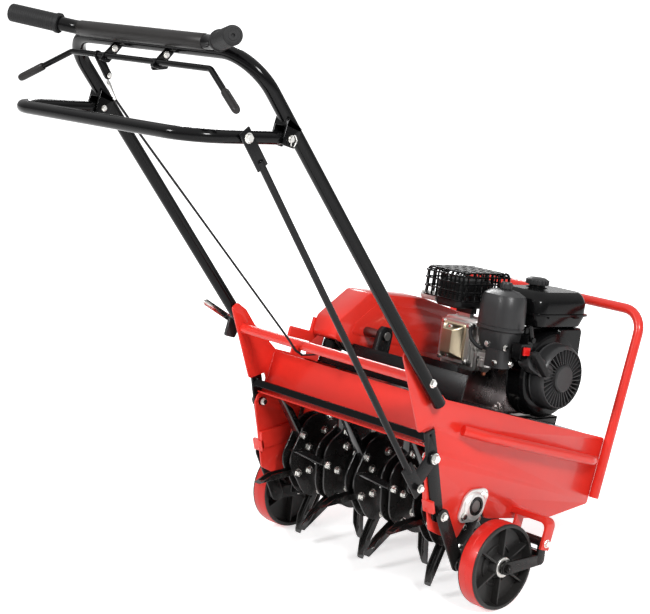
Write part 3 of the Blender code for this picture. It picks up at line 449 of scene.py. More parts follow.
def swept(path, radius, bend=0, sides=28, steps=7, radii=None):
    """Round bar or tube along a path whose corners are bent to a radius."""
    points = [Vector(path[0])]
    for before, here, after in zip(path, path[1:], path[2:]):
        here = Vector(here)
        a = (Vector(before) - here).normalized()
        b = (Vector(after) - here).normalized()
        half = a.angle(b) / 2
        if bend == 0 or half > 1.55:
            points.append(here)
            continue
        centre = here + (a + b).normalized() * (bend / sin(half))
        start = here + a * (bend / tan(half)) - centre
        end = here + b * (bend / tan(half)) - centre
        whole = start.angle(end)
        for i in range(steps + 1):
            t = i / steps
            points.append(centre + (start * sin((1 - t) * whole) + end * sin(t * whole)) / sin(whole))
    points.append(Vector(path[-1]))
    made = bmesh.new()
    rings = []
    normal = None
    for i, here in enumerate(points):
        back = (here - points[i - 1]).normalized() if i else (points[1] - here).normalized()
        on = (points[i + 1] - here).normalized() if i + 1 < len(points) else back
        along = (back + on).normalized()
        normal = along.orthogonal().normalized() if normal is None else (normal
            - along * normal.dot(along)).normalized()
        across = along.cross(normal)
        r = radii[i] if radii else radius
        ring = []
        for k in range(sides):
            angle = 2 * pi * k / sides
            ring.append(made.verts.new(here + normal * cos(angle) * r + across * sin(angle) * r))
        rings.append(ring)
    return skinned(made, rings)


def crossing(*points):
    """A path from the left side to the right one; the points are its right half, from the outside inward."""
    return [(-x, y, z) for x, y, z in points] + list(points[::-1])


NOSE_WHEEL = (336, -19.57)
ahead = [(338.5, 40), (342.5, 40), (342.5, 150), (352, 150), (352, 154), (338.5, 154)]
front = [cut_plate([ahead], -END, END, 0.6), block(-60, 60, 300, 341, 40, 46)]
y, z = NOSE_WHEEL
for side in SIDES:
    cheek = [(y - 24, 44), (y - 6, 44), (y + 11, -6), (y + 11, z - 11), (y - 9, z - 11), (y - 30, 0)]
    front.append(on_side(cut_plate([soften(cheek, 5)], 19, 23, 0.6), side))
fitted("front_member", front, red_paint, "front_cross_member")
nose_bolt = [pin(-27, 27, 5, y, z, 20)]
nose_bolt += [placed(p, Matrix.Translation((23, y, z))) for p in hex_bolt(6)]
fitted("nose_wheel_bolt", nose_bolt, zinc)

HOOP_X = 244.3
hoop = [swept(crossing((HOOP_X, 358, 58), (HOOP_X, 358, 445)), 10, 45)]
fitted("hoop_tube", hoop, red_paint, "front_hoop")
for side in SIDES:
    rail = swept([(244.5, -92, 133), (264, -48, 132), (264, 290, 132), (244.5, 325, 132)], 10, 40)
    fitted("bumper", [rail], red_paint, "bumper_tube", side=side)

# Deck over the drum: a black folded plate with an upright rear edge and a red plate at its left end, the
# pillow blocks of the layshaft bolted on it, and the sloping bed that carries the engine.
black_paint = coated("black_powder_coat", "black_paint", (0.0055, 0.0055, 0.006), 0.26, coat=0.05, bump=0.04,
    mottle=0.25, dust=0.05, gleam=0.2)
DECK_Z = 177
IDLER_PIVOT = (40, 197)
TAIL_Y, FRONT_Y, WIRE_Z = 36, 88, 220
deck = [block(-END, END, -62, 108, DECK_Z, DECK_Z + 3), cut_plate([[(95.5, 179), (98.5, 179), (98.5, 243),
    (95.5, 243)]], -72, 34, 0.5)]
rear_edge = [[(-195, 177), (195, 177), (195, 231.5), (-112, 231.5), (-112, 225), (-122, 225), (-122, 205),
    (-166, 205), (-166, 225), (-195, 225)]]
deck.append(placed(cut_plate(rear_edge, -62, -58.5, 0.5), swap))
for x in (-200, -66):
    pillow = [(-52, 178), (-8, 178), (-12, 268), (-20, 280), (-40, 280), (-48, 268)]
    deck.append(cut_plate([soften(pillow, 6), circle(-30, 262, 9.3)], x - 6, x + 6, 1))
deck += [strip((28, 192), (54, 192), 13, -134, -131), pin(-142, -131, 4, *IDLER_PIVOT, 16),
    strip((82, 202), (94, 202), 24, -124, -121), pin(-133, -122, 1.6, FRONT_Y, WIRE_Z, 14)]
fitted("deck_plate", deck, black_paint, "engine_deck")
end_plate = [block(-230.6, -193, -67, -64, 176, 230)]
fitted("deck_end_plate", end_plate, red_paint, edge=0.8)
slope = [(108.3, 150.5), (250, 178.6), (338, 196), (338, 172), (334, 172), (334, 191), (250, 174.2),
    (108.3, 146)]
wing = [(108.3, 150.5), (250, 178.6), (338, 178.6), (338, 172), (334, 172), (334, 174.2), (250, 174.2),
    (108.3, 146)]
bed = [cut_plate([slope], -120, 120, 0.5)]
for side in SIDES:
    bed += [on_side(cut_plate([wing], 119.8, END, 0.5), side), on_side(cut_plate([[(250, 174.2), (338, 174.2),
        (338, 195.6), (250, 178.2)]], 117, 120, 0.3), side)]
fitted("bed_plate", bed, black_paint, "engine_bed")

# Drum bearings: a pressed two-bolt flange outside each panel with its insert and locking collar,
# and inside a black backing plate with its bolts.
cast = coated("bright_cast_steel", "bare_steel", (0.66, 0.65, 0.62), 0.38, metallic=1, mottle=0.15, grain=420,
    bump=0.2)
SHAFT_R = 12.5
BACKING_BOLTS = ((-1, -44), (3, -82), (-30, 24), (30, 24))
cast_zinc = coated("cast_zinc", "bare_steel", (0.84, 0.83, 0.81), 0.42, metallic=0.75, mottle=0.06, grain=500,
    bump=0.08)
for side in SIDES:
    flange = [hull_plate([((-19, -21), 15), ((19, 21), 15), ((0, 0), 31.5)], PANEL_OUT + 0.3, PANEL_OUT + 6,
        1.5), turned([(PANEL_OUT + 0.3, 18), (PANEL_OUT + 0.3, 27), (PANEL_OUT + 8, 27), (PANEL_OUT + 11, 24.5),
        (PANEL_OUT + 12, 22), (PANEL_OUT + 12, 19), (PANEL_OUT + 10.5, 18.2), (PANEL_OUT + 10.5, 18)],
        sides=48)]
    fitted("drum_flange", flange, cast_zinc, "bearing_flange", side=side)
    seal = turned([(PANEL_OUT + 0.3, SHAFT_R + 0.3), (PANEL_OUT + 0.3, 17.8), (PANEL_OUT + 12, 17.8),
        (PANEL_OUT + 13, 16.8), (PANEL_OUT + 13, SHAFT_R + 0.3)], sides=48)
    fitted("bearing_seal", [seal], black_paint, side=side, slot="black_rubber")
    holds = bolts_at([(PANEL_OUT + 5.5, -21.5, -23.5), (PANEL_OUT + 5.5, 21.5, 23.5)], 7)
    fitted("flange_bolts", holds, zinc, side=side)
    backing = [(-40, 34), (40, 34), (48, -20), (30, -98), (-14, -98), (-22, -60), (-40, -20)]
    plate = [cut_plate([soften(backing, 6), circle(0, 0, SHAFT_R + 2)], PANEL_IN - 13, PANEL_IN - 8.3, 0.8)]
    for y, z in BACKING_BOLTS:
        plate.append(pin(PANEL_IN - 9, PANEL_IN - 0.3, 6, y, z, 16))
    fitted("backing_plate", plate, black_paint, "bearing_plate", side=side)
    heads = bolts_at([(PANEL_IN - 13, y, z) for y, z in BACKING_BOLTS], 6, -1)
    heads += bolts_at([(PANEL_IN - 0.3, y, z) for y, z in BACKING_BOLTS[:2]], 6)
    fitted("backing_bolts", heads, zinc, side=side)

# Tine drum: a keyed shaft with five rotors. Each rotor is a pair of laser-cut discs that clamp six spoon
# tines, folded from spring steel plate, with two bright bolts through each.
oiled = coated("oiled_steel", "bare_steel", (0.16, 0.155, 0.15), 0.33, metallic=1, mottle=0.3, grain=600,
    bump=0.05)
tine_black = coated("tine_black", "black_paint", (0.006, 0.006, 0.0065), 0.15, coat=0.35, mottle=0.3, grain=600,
    bump=0.05, dust=0.06)
worn_black = coated("drum_black", "black_paint", (0.008, 0.008, 0.0085), 0.26, coat=0.1, mottle=0.3, grain=600,
    bump=0.08, dust=0.08, gleam=0.4)
CHAIN_X = -211.5


def sprocket(teeth, tip, root, edge, y=0, z=0):
    """A thin sprocket in the chain's plane."""
    outline = [polar((tip, tip, root, root)[k % 4], 2 * pi * k / (4 * teeth), y, z) for k in range(4 * teeth)]
    return cut_plate([outline], CHAIN_X - 1.2, CHAIN_X + 1.2, edge)


shaft = [turned([(-246, 0), (-246, SHAFT_R - 1), (-245, SHAFT_R), (245, SHAFT_R), (246, SHAFT_R - 1), (246, 0)],
    sides=32), sprocket(24, 48, 45.2, 0.4), pin(-217, -207, 22, sides=32, bore=SHAFT_R)]
fitted("drum_shaft", shaft, oiled, "tine_shaft", body="drum")
ROTOR_PITCH = 91.4
DISC_R, LOBE = 88.5, 3.5
TINE_ROOT, TINE_TIP = 36, 171
TINE_LEAN = radians(9.3)
DISC = (9.5, 13.5)
BOLT_REACH = (42, 72)


def spoon_tine(angle):
    """A folded channel clamped between the discs, its mouth cut slantwise to a sharp lip."""
    reach_out = TINE_TIP * cos(TINE_LEAN)
    back = -TINE_TIP * sin(TINE_LEAN) - 6
    section = [(-10, back + 2.2), (-8.8, back + 0.6), (-7, back), (7, back), (8.8, back + 0.6),
        (10, back + 2.2), (10, back + 13), (7.2, back + 13), (7.2, back + 4.2), (6, back + 3), (-6, back + 3),
        (-7.2, back + 4.2), (-7.2, back + 13), (-10, back + 13)]
    made = bmesh.new()
    rows = []
    for share in (0, 0.5, 0.8, 1):
        row = []
        for x, s in section:
            far = reach_out - 2.6 * (s - back) * (1 if share == 1 else 0)
            pinch = 1 - 0.06 * share
            out = TINE_ROOT + (far - TINE_ROOT) * (share if share == 1 else share * 0.86)
            row.append(made.verts.new((x * pinch, s, out)))
        rows.append(row)
    return placed(skinned(made, rows), about_x(radians(angle) - pi / 2 - TINE_LEAN))


for number in range(5):
    x = (number - 2) * ROTOR_PITCH
    first = -92 if number % 2 == 0 else -62
    rotor = []
    tines = []
    bolts = []
    for side in SIDES:
        rim = []
        for k in range(120):
            swing = radians(3 * k)
            lobe = cos(6 * (swing - radians(first) + TINE_LEAN))
            rim.append(polar(DISC_R + LOBE * lobe, swing))
        disc = cut_plate([rim, circle(0, 0, SHAFT_R + 0.3, 28)], DISC[0], DISC[1], 0.6)
        rotor.append(on_side(disc, side))
        hub = turned([(DISC[1] - 0.5, 24), (DISC[1] + 3.5, 24), (DISC[1] + 3.5, SHAFT_R + 0.3),
            (DISC[1] - 0.5, SHAFT_R + 0.3)], sides=32)
        rotor.append(on_side(hub, side))
    rotor.append(turned([(-DISC[0], 22), (DISC[0], 22), (DISC[0], SHAFT_R + 0.3), (-DISC[0], SHAFT_R + 0.3)],
        sides=28))
    for k in range(6):
        angle = first + 60 * k
        tines.append(spoon_tine(angle))
        way = radians(angle) - TINE_LEAN
        d = Vector((cos(way), sin(way)))
        foot = Vector((-d.y, d.x)) * (TINE_TIP * sin(TINE_LEAN))
        for run in BOLT_REACH:
            spot = foot + d * run
            for side in SIDES:
                heads = hex_bolt(7.6, thread=2.6 if side > 0 else 0)
                spin = about_x(way + 0.3 * k, DISC[1], spot.x, spot.y)
                bolts += [on_side(placed(p, spin), side) for p in heads]
    slide = Matrix.Translation((x, 0, 0))
    fitted("rotor_%d" % (number + 1), [placed(p, slide) for p in rotor], worn_black,
        "tine_rotor_%d" % (number + 1), body="drum")
    fitted("rotor_tines_%d" % (number + 1), [placed(p, slide) for p in tines], tine_black, body="drum")
    fitted("rotor_bolts_%d" % (number + 1), [placed(p, slide) for p in bolts], zinc, body="drum")

# Final drive: a roller chain up from the drum's sprocket, a layshaft with a cast V pulley, a rubber V belt
# from the engine, and a spring-loaded idler that the clutch cable pulls up against the belt.
rubber = coated("black_rubber", "black_rubber", (0.012, 0.012, 0.0125), 0.55, mottle=0.2, grain=700, bump=0.15,
    dust=0.08, gleam=0.25)
LAYSHAFT = (-30, 262)
CRANKSHAFT = (243, 273)
ROLLER = (112, 196)


def loop_line(a, ra, b, rb, step):
    """Points at an even step along a belt's closed line round two pulleys, with the direction of each."""
    d = Vector(b) - Vector(a)
    base = atan2(d.y, d.x)
    wrap = acos((ra - rb) / d.length)
    dots = []
    for centre, r, first, last in ((a, ra, base + wrap, base - wrap + 2 * pi),
            (b, rb, base - wrap, base + wrap)):
        for k in range(41):
            t = first + (last - first) * k / 40
            dots.append(Vector(polar(r, t, *centre)))
    dots.append(dots[0])
    length = sum((q - p).length for p, q in zip(dots, dots[1:]))
    count = 2 * round(length / step / 2)
    out = []
    gone = 0
    for p, q in zip(dots, dots[1:]):
        run = (q - p).length
        while len(out) < count and len(out) * length / count <= gone + run + 1e-6:
            t = (len(out) * length / count - gone) / run if run else 0
            out.append((p.lerp(q, t), (q - p).normalized()))
        gone += run
    return out


def closed_belt(line, section):
    """A band whose (x, outward) section follows a closed line."""
    made = bmesh.new()
    rings = [[made.verts.new((x, p.x + d.y * out, p.y - d.x * out)) for x, out in section] for p, d in line]
    return skinned(made, rings, closed=True)


chain = []
chain_line = loop_line((0, 0), 51.2, LAYSHAFT, 25.2, 9.525)
for k, (p, d) in enumerate(chain_line):
    q = chain_line[(k + 1) % len(chain_line)][0]
    wide = 0.9 if k % 2 else 0
    for side in SIDES:
        plate_x = CHAIN_X + side * (1.7 + wide)
        chain.append(strip(p, q, 3.3, plate_x - 0.4, plate_x + 0.4, 2.8, 0.15))
    chain.append(turned([(-214.6, 0), (-214.6, 1.3), (-213, 1.3), (-213, 2.5), (-210, 2.5), (-210, 1.3),
        (-208.4, 1.3), (-208.4, 0)], p.x, p.y, 10))
fitted("roller_chain", chain, oiled, "drive_chain")
belt_line = loop_line(LAYSHAFT, 45, CRANKSHAFT, 22, 6)
belt = closed_belt(belt_line, [(-153.6, 0.2), (-148.4, 0.2), (-147, 5.6), (-147.4, 6.3), (-151, 6.5),
    (-154.6, 6.3), (-155, 5.6)])
fitted("v_belt", [belt], rubber, "drive_belt")


def v_pulley(outer, y, z):
    """A cast pulley with a V groove for the belt and a hub each side."""
    return turned([(-166, 9), (-166, 16), (-158.5, 16), (-158.5, outer - 16), (-160, outer - 12),
        (-160, outer - 0.8), (-159.4, outer), (-157, outer), (-155.7, outer - 6.5), (-146.3, outer - 6.5),
        (-145, outer), (-142.6, outer), (-142, outer - 0.8), (-142, outer - 12), (-144, outer - 16), (-144, 16),
        (-138, 16), (-138, 9)], y, z, 48)


lay = [turned([(-217, 0), (-217, 8.4), (-216.4, 9), (-56.6, 9), (-56, 8.4), (-56, 0)], *LAYSHAFT, 28),
    sprocket(11, 22, 19.6, 0.3, *LAYSHAFT), v_pulley(50, *LAYSHAFT)]
fitted("layshaft_and_pulley", lay, oiled, "layshaft", body="layshaft")
crank_end = [pin(-166, -58.3, 10, *CRANKSHAFT, 28), v_pulley(27, *CRANKSHAFT)]
fitted("engine_pulley_turned", crank_end, oiled, "engine_pulley", body="engine_shaft")
idler = [strip(IDLER_PIVOT, ROLLER, 7.5, -140, -136, edge=0.8, round_ends=True),
    strip(IDLER_PIVOT, (TAIL_Y, WIRE_Z), 6, -139.6, -136.4, edge=0.8, round_ends=True),
    turned([(-158, 0), (-158, 5), (-156.5, 5), (-156.5, 9), (-156, 9), (-156, 15), (-154.6, 15), (-154, 14),
    (-147, 14), (-146.4, 15), (-145, 15), (-145, 8), (-138, 8), (-138, 0)], *ROLLER, 32),
    pin(-137, -126, 1.6, TAIL_Y, WIRE_Z, 14)]
fitted("idler_lever", idler, black_paint, "idler_arm", body="idler")
TURNS = 11
PITCH = 2.6
SPRING_X = -129.5
COIL_R, HOOK_R = 4.5, 2.9
coil_start = (TAIL_Y + FRONT_Y - TURNS * PITCH) / 2
coil = [(SPRING_X, *polar(HOOK_R, radians(-150 - 15 * i), TAIL_Y, WIRE_Z)) for i in range(17)]
coil.append((SPRING_X, coil_start - 3, WIRE_Z + 3.9))
for i in range(TURNS * 20 + 1):
    a = pi / 2 + 2 * pi * i / 20
    coil.append((SPRING_X + COIL_R * cos(a), coil_start + PITCH * i / 20, WIRE_Z + COIL_R * sin(a)))
coil.append((SPRING_X, coil_start + TURNS * PITCH + 3, WIRE_Z + 3.9))
coil += [(SPRING_X, *polar(HOOK_R, radians(90 - 15 * i), FRONT_Y, WIRE_Z)) for i in range(17)]
spring = fitted("idler_return_spring", [swept(coil, 0.8, sides=10)], zinc, "idler_spring", body=None)
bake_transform(spring)

# Belt guard: pressed and welded from 2.5 mm sheet, painted red, open below, its right face embossed,
# with a long bolted tab behind it.
GUARD = [(-110, 226), (-110, 269.5), (-46, 338), (115, 359), (250, 352), (304, 318), (304, 240), (150, 226)]
shell = cut_plate([soften(GUARD, 16)], -186, -118, 5)
below = [f for f in shell.faces if f.normal.z < -0.6 and abs(f.normal.x) < 0.9
    and f.calc_center_median().z < 246]
bmesh.ops.delete(shell, geom=below, context="FACES")
emboss = [(-70, 250), (-66, 272), (-22, 318), (112, 336), (238, 330), (276, 306), (276, 262), (150, 250)]
press = cut_plate([soften(emboss, 14)], -118.4, -116.8, 1.5)
foot = cut_plate([soften([(-168, 212), (-104, 212), (-92, 226), (-92, 262), (-112, 262), (-112, 233),
    (-168, 233)], 3)], -192, -186, 0.8)
cover_part = fitted("belt_cover", [shell], red_paint, "belt_guard")
sheet = cover_part.modifiers.new("sheet", "SOLIDIFY")
sheet.thickness = 2.5 * MM
sheet.offset = -1
fitted("belt_cover_emboss", [press], red_paint)
fitted("belt_cover_tab", [foot], red_paint, edge=1)
tab_bolts = bolts_at([(-192.2, -156, 222), (-192.2, -120, 222)], 5.5, -1)
fitted("belt_cover_bolts", tab_bolts, zinc)

# Engine: die-cast crankcase and finned cylinder, bolted to the bed. Its own frame has x to the right,
# y forward, z up and its origin on the crankshaft.
ENGINE = CHASSIS @ about_x(radians(11.2), 0, *CRANKSHAFT)
UPRIGHT = Matrix(((0, 1, 0, 0), (0, 0, 1, 0), (1, 0, 0, 0), (0, 0, 0, 1)))
alloy = coated("cast_alloy", "cast_aluminium", (0.68, 0.67, 0.65), 0.34, metallic=1, mottle=0.12, grain=380,
    bump=0.25)
gloss_black = coated("gloss_black", "black_paint", (0.0035, 0.0035, 0.0038), 0.13, coat=0.05, mottle=0.2,
    bump=0.015, gleam=0.16)
satin_black = coated("satin_black_plastic", "black_plastic", (0.034, 0.034, 0.035), 0.33, mottle=0.12,
    grain=1100, bump=0.12, gleam=0.35)


def engine_part(name, pieces, finish, stands_for=None, **more):
    """A part whose pieces are given in the engine's own frame."""
    return fitted(name, pieces, finish, stands_for, frame_of=ENGINE, **more)


def upright(piece, x=0, y=0, z=0):
    """Stand a piece made along x upright, its (y, z) outline becoming (x, y)."""
    return placed(piece, Matrix.Translation((x, y, z)) @ UPRIGHT)


def lofted(levels, steps=6):
    """A moulding through rounded rectangles (x0, x1, y0, y1, corner radius, z) from bottom to top."""
    made = bmesh.new()
    rings = []
    for x0, x1, y0, y1, r, z in levels:
        ring = []
        for cx, cy, turn in ((x1 - r, y0 + r, -90), (x1 - r, y1 - r, 0), (x0 + r, y1 - r, 90),
                (x0 + r, y0 + r, 180)):
            for k in range(steps + 1):
                ring.append(made.verts.new((*polar(r, radians(turn + 90 * k / steps), cx, cy), z)))
        rings.append(ring)
    return skinned(made, rings)


FOOT_Z = -93.8
FOOT_XS = (-44, 88)
case = [(-78, -88), (84, -88), (86, -30), (70, 52), (30, 66), (-60, 62), (-82, 20)]
crankcase = [cut_plate([soften(case, 9)], -58, 105, 4), cut_plate([soften([(y * 0.86, z * 0.86 + 1)
    for y, z in case], 9)], -62, -57, 1.5)]
barrel = [cut_plate([soften([(-128, -2), (-128, 84), (-50, 84), (-50, -2)], 4)], -34, 46, 1.5)]
for k in range(6):
    y = -74 - 10 * k
    fin = [(-42, -10), (54, -10), (54, 92), (-42, 92)]
    barrel.append(placed(upright(cut_plate([soften(fin, 12)], 0, 2.5, 0.7)), about_x(pi / 2, 0, y + 2.5)))
barrel.append(block(-20, 12, -112, -100, 84, 100))
crankcase.append(turned([(-70, 0), (-70, 17), (-66, 22), (-62, 24), (-56, 24), (-56, 0)], 0, 0, 32))
for x in FOOT_XS:
    for y0, y1 in ((-96, -70), (54, 77)):
        crankcase.append(block(x - 11, x + 11, y0, y1, FOOT_Z, -80))
dark_alloy = coated("dark_alloy", "cast_aluminium", (0.27, 0.235, 0.235), 0.26, metallic=1, mottle=0.2,
    grain=380, bump=0.15)
sump = [block(-56, 103, -90, 80, FOOT_Z, -85)]
engine_part("sump_flange", sump, alloy, edge=1.5)
engine_part("crankcase", crankcase, dark_alloy, "engine_block")
engine_part("cylinder_barrel", barrel, alloy)
case_bolts = bolts_at([(-62.2, y, z) for y, z in ((-60, -66), (62, -66), (54, 34), (-46, 46), (-62, 4),
    (66, -20))], 5, -1)
for x in FOOT_XS:
    for y in (-86, 69):
        case_bolts += [upright(p, x, y, -80) for p in hex_bolt(7, thread=5)]
engine_part("crankcase_bolts", case_bolts, zinc)


def rearward(piece, x, y, z):
    """Turn a piece made along +x to point backwards, and put it in place."""
    return placed(piece, Matrix.Translation((x, y, z)) @ Matrix.Rotation(radians(-90), 4, "Z"))


head = [placed(lofted([(-32, 46, 4, 86, 8, 0), (-32, 46, 4, 86, 8, 7), (-30, 44, 6, 84, 7, 8),
    (-30, 44, 6, 84, 7, 11), (-32, 46, 4, 86, 8, 12), (-32, 46, 4, 86, 8, 15.7)]),
    about_x(radians(90), 0, -128.3))]
rocker_box = placed(lofted([(-22, 34, 12, 80, 5, 0), (-24, 36, 10, 82, 6, 1), (-24, 36, 10, 82, 6, 3),
    (-21, 33, 13, 79, 4, 4), (-20, 32, 14, 78, 4, 10), (-8, 20, 22, 70, 3, 24), (-7, 19, 23, 69, 3, 25)]),
    about_x(radians(90), 0, -143))
engine_part("cylinder_head_casting", head, alloy, "cylinder_head")
bronze = coated("chromated_cover", "cast_aluminium", (0.56, 0.47, 0.33), 0.3, metallic=1, mottle=0.14,
    grain=450, bump=0.12)
engine_part("rocker_cover", [rocker_box], bronze)
head_bolts = []
for x, z in ((-27, 9), (41, 9), (-27, 81), (41, 81), (6, 17), (6, 74)):
    deep = -144.2 if abs(x) > 10 else -158.5
    head_bolts += [rearward(p, x, deep, z) for p in hex_bolt(4.6)]
engine_part("head_bolts", head_bolts, zinc)

# Muffler: two pressed steel shells crimped together with a short exhaust stub, under a cage of black
# bars that guards it.
hot = coated("muffler_black", "bare_steel", (0.012, 0.012, 0.0125), 0.4, mottle=0.3, grain=350, bump=0.15,
    gleam=0.35)
silencer = [lofted([(-54, 10, -146, -54, 12, 110), (-58, 14, -150, -50, 14, 114), (-58, 14, -150, -50, 14, 135),
    (-60, 16, -152, -48, 15, 136), (-60, 16, -152, -48, 15, 139), (-58, 14, -150, -50, 14, 140),
    (-58, 14, -150, -50, 14, 160), (-52, 8, -144, -56, 11, 166)]), block(-24, 16, -114, -98, 100.3, 112)]
silencer += [upright(pin(0, 18.5, 5, sides=16), x, y, 165) for x, y in ((-45, -138), (0, -62))]
engine_part("silencer", silencer, hot, "muffler")
stub = [pin(-90, -50, 9.4, -145, 124, 36, bore=7.8)]
pale_steel = coated("pale_steel", "bare_steel", (0.74, 0.73, 0.70), 0.5, metallic=0.35, mottle=0.1)
engine_part("exhaust_stub", stub, pale_steel)
slots = [soften([(x, -150 + 24 * r), (x + 15, -150 + 24 * r), (x + 15, -139 + 24 * r), (x, -139 + 24 * r)], 3,
    2) for x in (-62, -38, -14, 10) for r in range(5)]
roof = soften([(-66, -160), (24, -160), (32, -150), (32, -48), (24, -38), (-66, -38), (-74, -48), (-74, -150)],
    5)
cage = [upright(cut_plate([roof] + slots, 184, 187, 0.8))]
CAGE_LOW, CAGE_TOP = 128, 184.5
BAR = (2.1, 9, 10, 4)
for x in (-62.5, -50, -37.5, -26, -14.5, -3.5, 8, 19.5, 30.5):
    cage += [swept([(x, -166.5, CAGE_LOW), (x, -166.5, CAGE_TOP), (x, -148, CAGE_TOP)], *BAR),
        swept([(x, -50, CAGE_TOP), (x, -29.5, CAGE_TOP), (x, -29.5, CAGE_LOW)], *BAR)]
for y in (-155, -131.5, -114, -96.5, -79.5, -62.5, -46, -29.5):
    cage += [swept([(-76.5, y, CAGE_LOW), (-76.5, y, CAGE_TOP), (-64, y, CAGE_TOP)], *BAR),
        swept([(32.5, y, CAGE_LOW), (32.5, y, CAGE_TOP), (20, y, CAGE_TOP)], *BAR)]
for z in (129, 146, 163, 177.5):
    cage.append(swept([(32.8, -28, z), (32.8, -166.8, z), (-76.8, -166.8, z), (-76.8, -28, z), (32.8, -28, z)],
        1.9, 12, 10, 5))
cage.append(swept([(-76.5, -29.5, 179.2), (31, -29.5, 179.2)], 1.3, sides=10))
engine_part("muffler_cage", cage, gloss_black, "muffler_guard")

# Intake: a filter box under a satin moulded cover with a screw knob, the die-cast carburettor with its
# float bowl, and the breather hose from the rocker cover.
neck = [lofted([(78, 134, -148, -98, 12, 44), (72, 138, -150, -94, 16, 52), (64, 144, -154, -87, 22, 70),
    (60, 147, -156, -85.5, 28, 85.7)], 8), lofted([(92, 138, -150, -112, 10, 14),
    (92, 138, -150, -112, 10, 50)])]
engine_part("filter_base", neck, satin_black, "air_filter_base")
lid = [lofted([(56, 150, -158, -85, 34, 86), (54, 152, -159.5, -84, 35, 88), (54, 152, -159.5, -84, 35, 92),
    (56, 150, -158, -85.5, 34, 93), (56, 150, -158, -85.5, 34, 95), (54.5, 151.5, -159, -84.5, 35, 96),
    (55, 151, -158.5, -85, 35, 130), (57, 149, -157, -86, 34, 150), (60, 146, -154, -89, 32, 157),
    (72, 134, -142, -100, 24, 164), (78, 128, -136, -106, 19, 165.5), (80, 126, -134, -108, 17, 166)], 10)]
KNOB_AT = (100, -117, 166)
knob = [turned([(0, 0), (0, 9), (2, 11.6), (11, 11.6), (14, 10.4), (14, 6), (12, 5), (12, 0)], sides=40)]
lid += [upright(p, *KNOB_AT) for p in knob]
for k in range(10):
    ridge = block(0, 11.6, 10.8, 12.6, -1.1, 1.1)
    lid.append(upright(placed(ridge, about_x(2 * pi * k / 10)), *KNOB_AT))
engine_part("filter_cover", lid, satin_black, "air_filter_cover")
filter_screws = bolts_at([(138.4, -141, 56), (138.4, -118, 24)], 6)
filter_screws += [rearward(p, x, -150.4, z) for x, z in ((100, 58), (124, 24)) for p in hex_bolt(6)]
engine_part("filter_screws", filter_screws, zinc)
BOWL_AT = (73, -118, 8)
carb = [lofted([(54.5, 95.5, -126, -106, 5, 24), (54.5, 95.5, -126, -106, 5, 50), (60, 88, -124, -108, 5, 58)]),
    upright(turned([(-14, 0), (-14, 5), (-12, 8), (-2, 15), (8, 15), (9, 17), (12, 17), (12, 13), (16, 13),
    (16, 0)], sides=32), *BOWL_AT), pin(46, 98, 12, -116, 40, 28)]
engine_part("carburettor_body", carb, alloy, "carburettor")
drain_screw = [upright(turned([(-20, 0), (-20, 4), (-14, 5), (-14, 0)], sides=6), *BOWL_AT)]
engine_part("bowl_screw", drain_screw, coated("copper_plate", "bare_steel", (0.55, 0.2, 0.12), 0.3, metallic=1))
lead = [(50.4, -140, 84), (56, -156, 76), (66, -162, 62), (80, -158, 50), (91, -152, 46)]
engine_part("breather_tube", [swept(lead, 4, 10)], rubber, "breather_hose")
linkage = [swept([(98, -128, 62), (98, -134, 54), (60, -134, 50), (56, -132, 30)], 0.9, 4, 8),
    swept([(52, -128, 66), (88, -130, 66), (94, -128, 74)], 0.9, 4, 8)]
engine_part("governor_rods", linkage, zinc)

# Fuel tank: a blow-moulded black tank with a welded seam and two lugs on its right side, and a ribbed cap
# that unscrews from its neck.
CAP_AT = (78, 4)
tank = [lofted([(52, 144, -62, 70, 22, 96), (44, 152, -70, 78, 24, 100), (38, 158, -76, 84, 26, 119),
    (39, 158, -76, 84, 26, 121), (36, 164, -82, 90, 30, 122), (36, 164, -82, 90, 30, 125.5),
    (42, 158, -76, 84, 26, 126.5), (42, 158, -76, 84, 26, 148), (44, 156, -74, 82, 26, 153),
    (49, 151, -69, 77, 24, 163), (55, 145, -63, 71, 22, 168)], 8), upright(turned([(0, 0), (0, 22), (2, 22),
    (3, 17), (5.6, 17), (5.6, 0)], sides=40), *CAP_AT, 167)]
for y in (-40, 40):
    tank.append(block(152, 162, y - 8, y + 8, 118, 126))
engine_part("tank_shell", tank, gloss_black, "fuel_tank", slot="black_plastic")
cap = [turned([(0, 0), (0, 21), (1, 22), (9, 22), (12, 20), (14, 16), (14, 0)], sides=48)]
for k in range(18):
    cap.append(placed(cut_plate([soften([(20, -1.8), (24, -1.6), (24, 1.6), (20, 1.8)], 0.8, 2)], 0.6, 10.5,
        0.7), about_x(2 * pi * k / 18)))
engine_part("tank_cap", [upright(p, *CAP_AT, 173.4) for p in cap], satin_black, "fuel_cap", body="fuel_cap")

# Blower housing and recoil starter: pressed black steel round the flywheel, a vented cup bolted on it,
# the T grip of the pull rope, the throttle lever and the red rocker switch.
volute = [turned([(105.3, 0), (105.3, 88), (107, 90), (109, 90), (110, 88), (118, 88), (141, 88), (147, 84),
    (149, 78), (149, 0)], sides=64), placed(lofted([(8, 84, -95, -32, 6, 112), (8, 84, -95, -32, 6, 143),
    (12, 80, -92, -36, 6, 148)]), Matrix(((0, 0, 1, 0), (1, 0, 0, 0), (0, -1, 0, 0), (0, 0, 0, 1)))),
    block(112, 148.5, -115, -60, 30, 58), block(140, 160, -115, -106, 34, 58),
    cut_plate([soften([(-62, 50), (96, 30), (96, 95), (-62, 95)], 6), circle(20, 84, 5)], 112, 119, 1.5),
    block(149, 172, -134, -107, 40, 70), block(142, 165, -107, -91, 57, 86)]
engine_part("blower_shroud", volute, gloss_black, "blower_housing", edge=1.2)
CUP_Y = -2
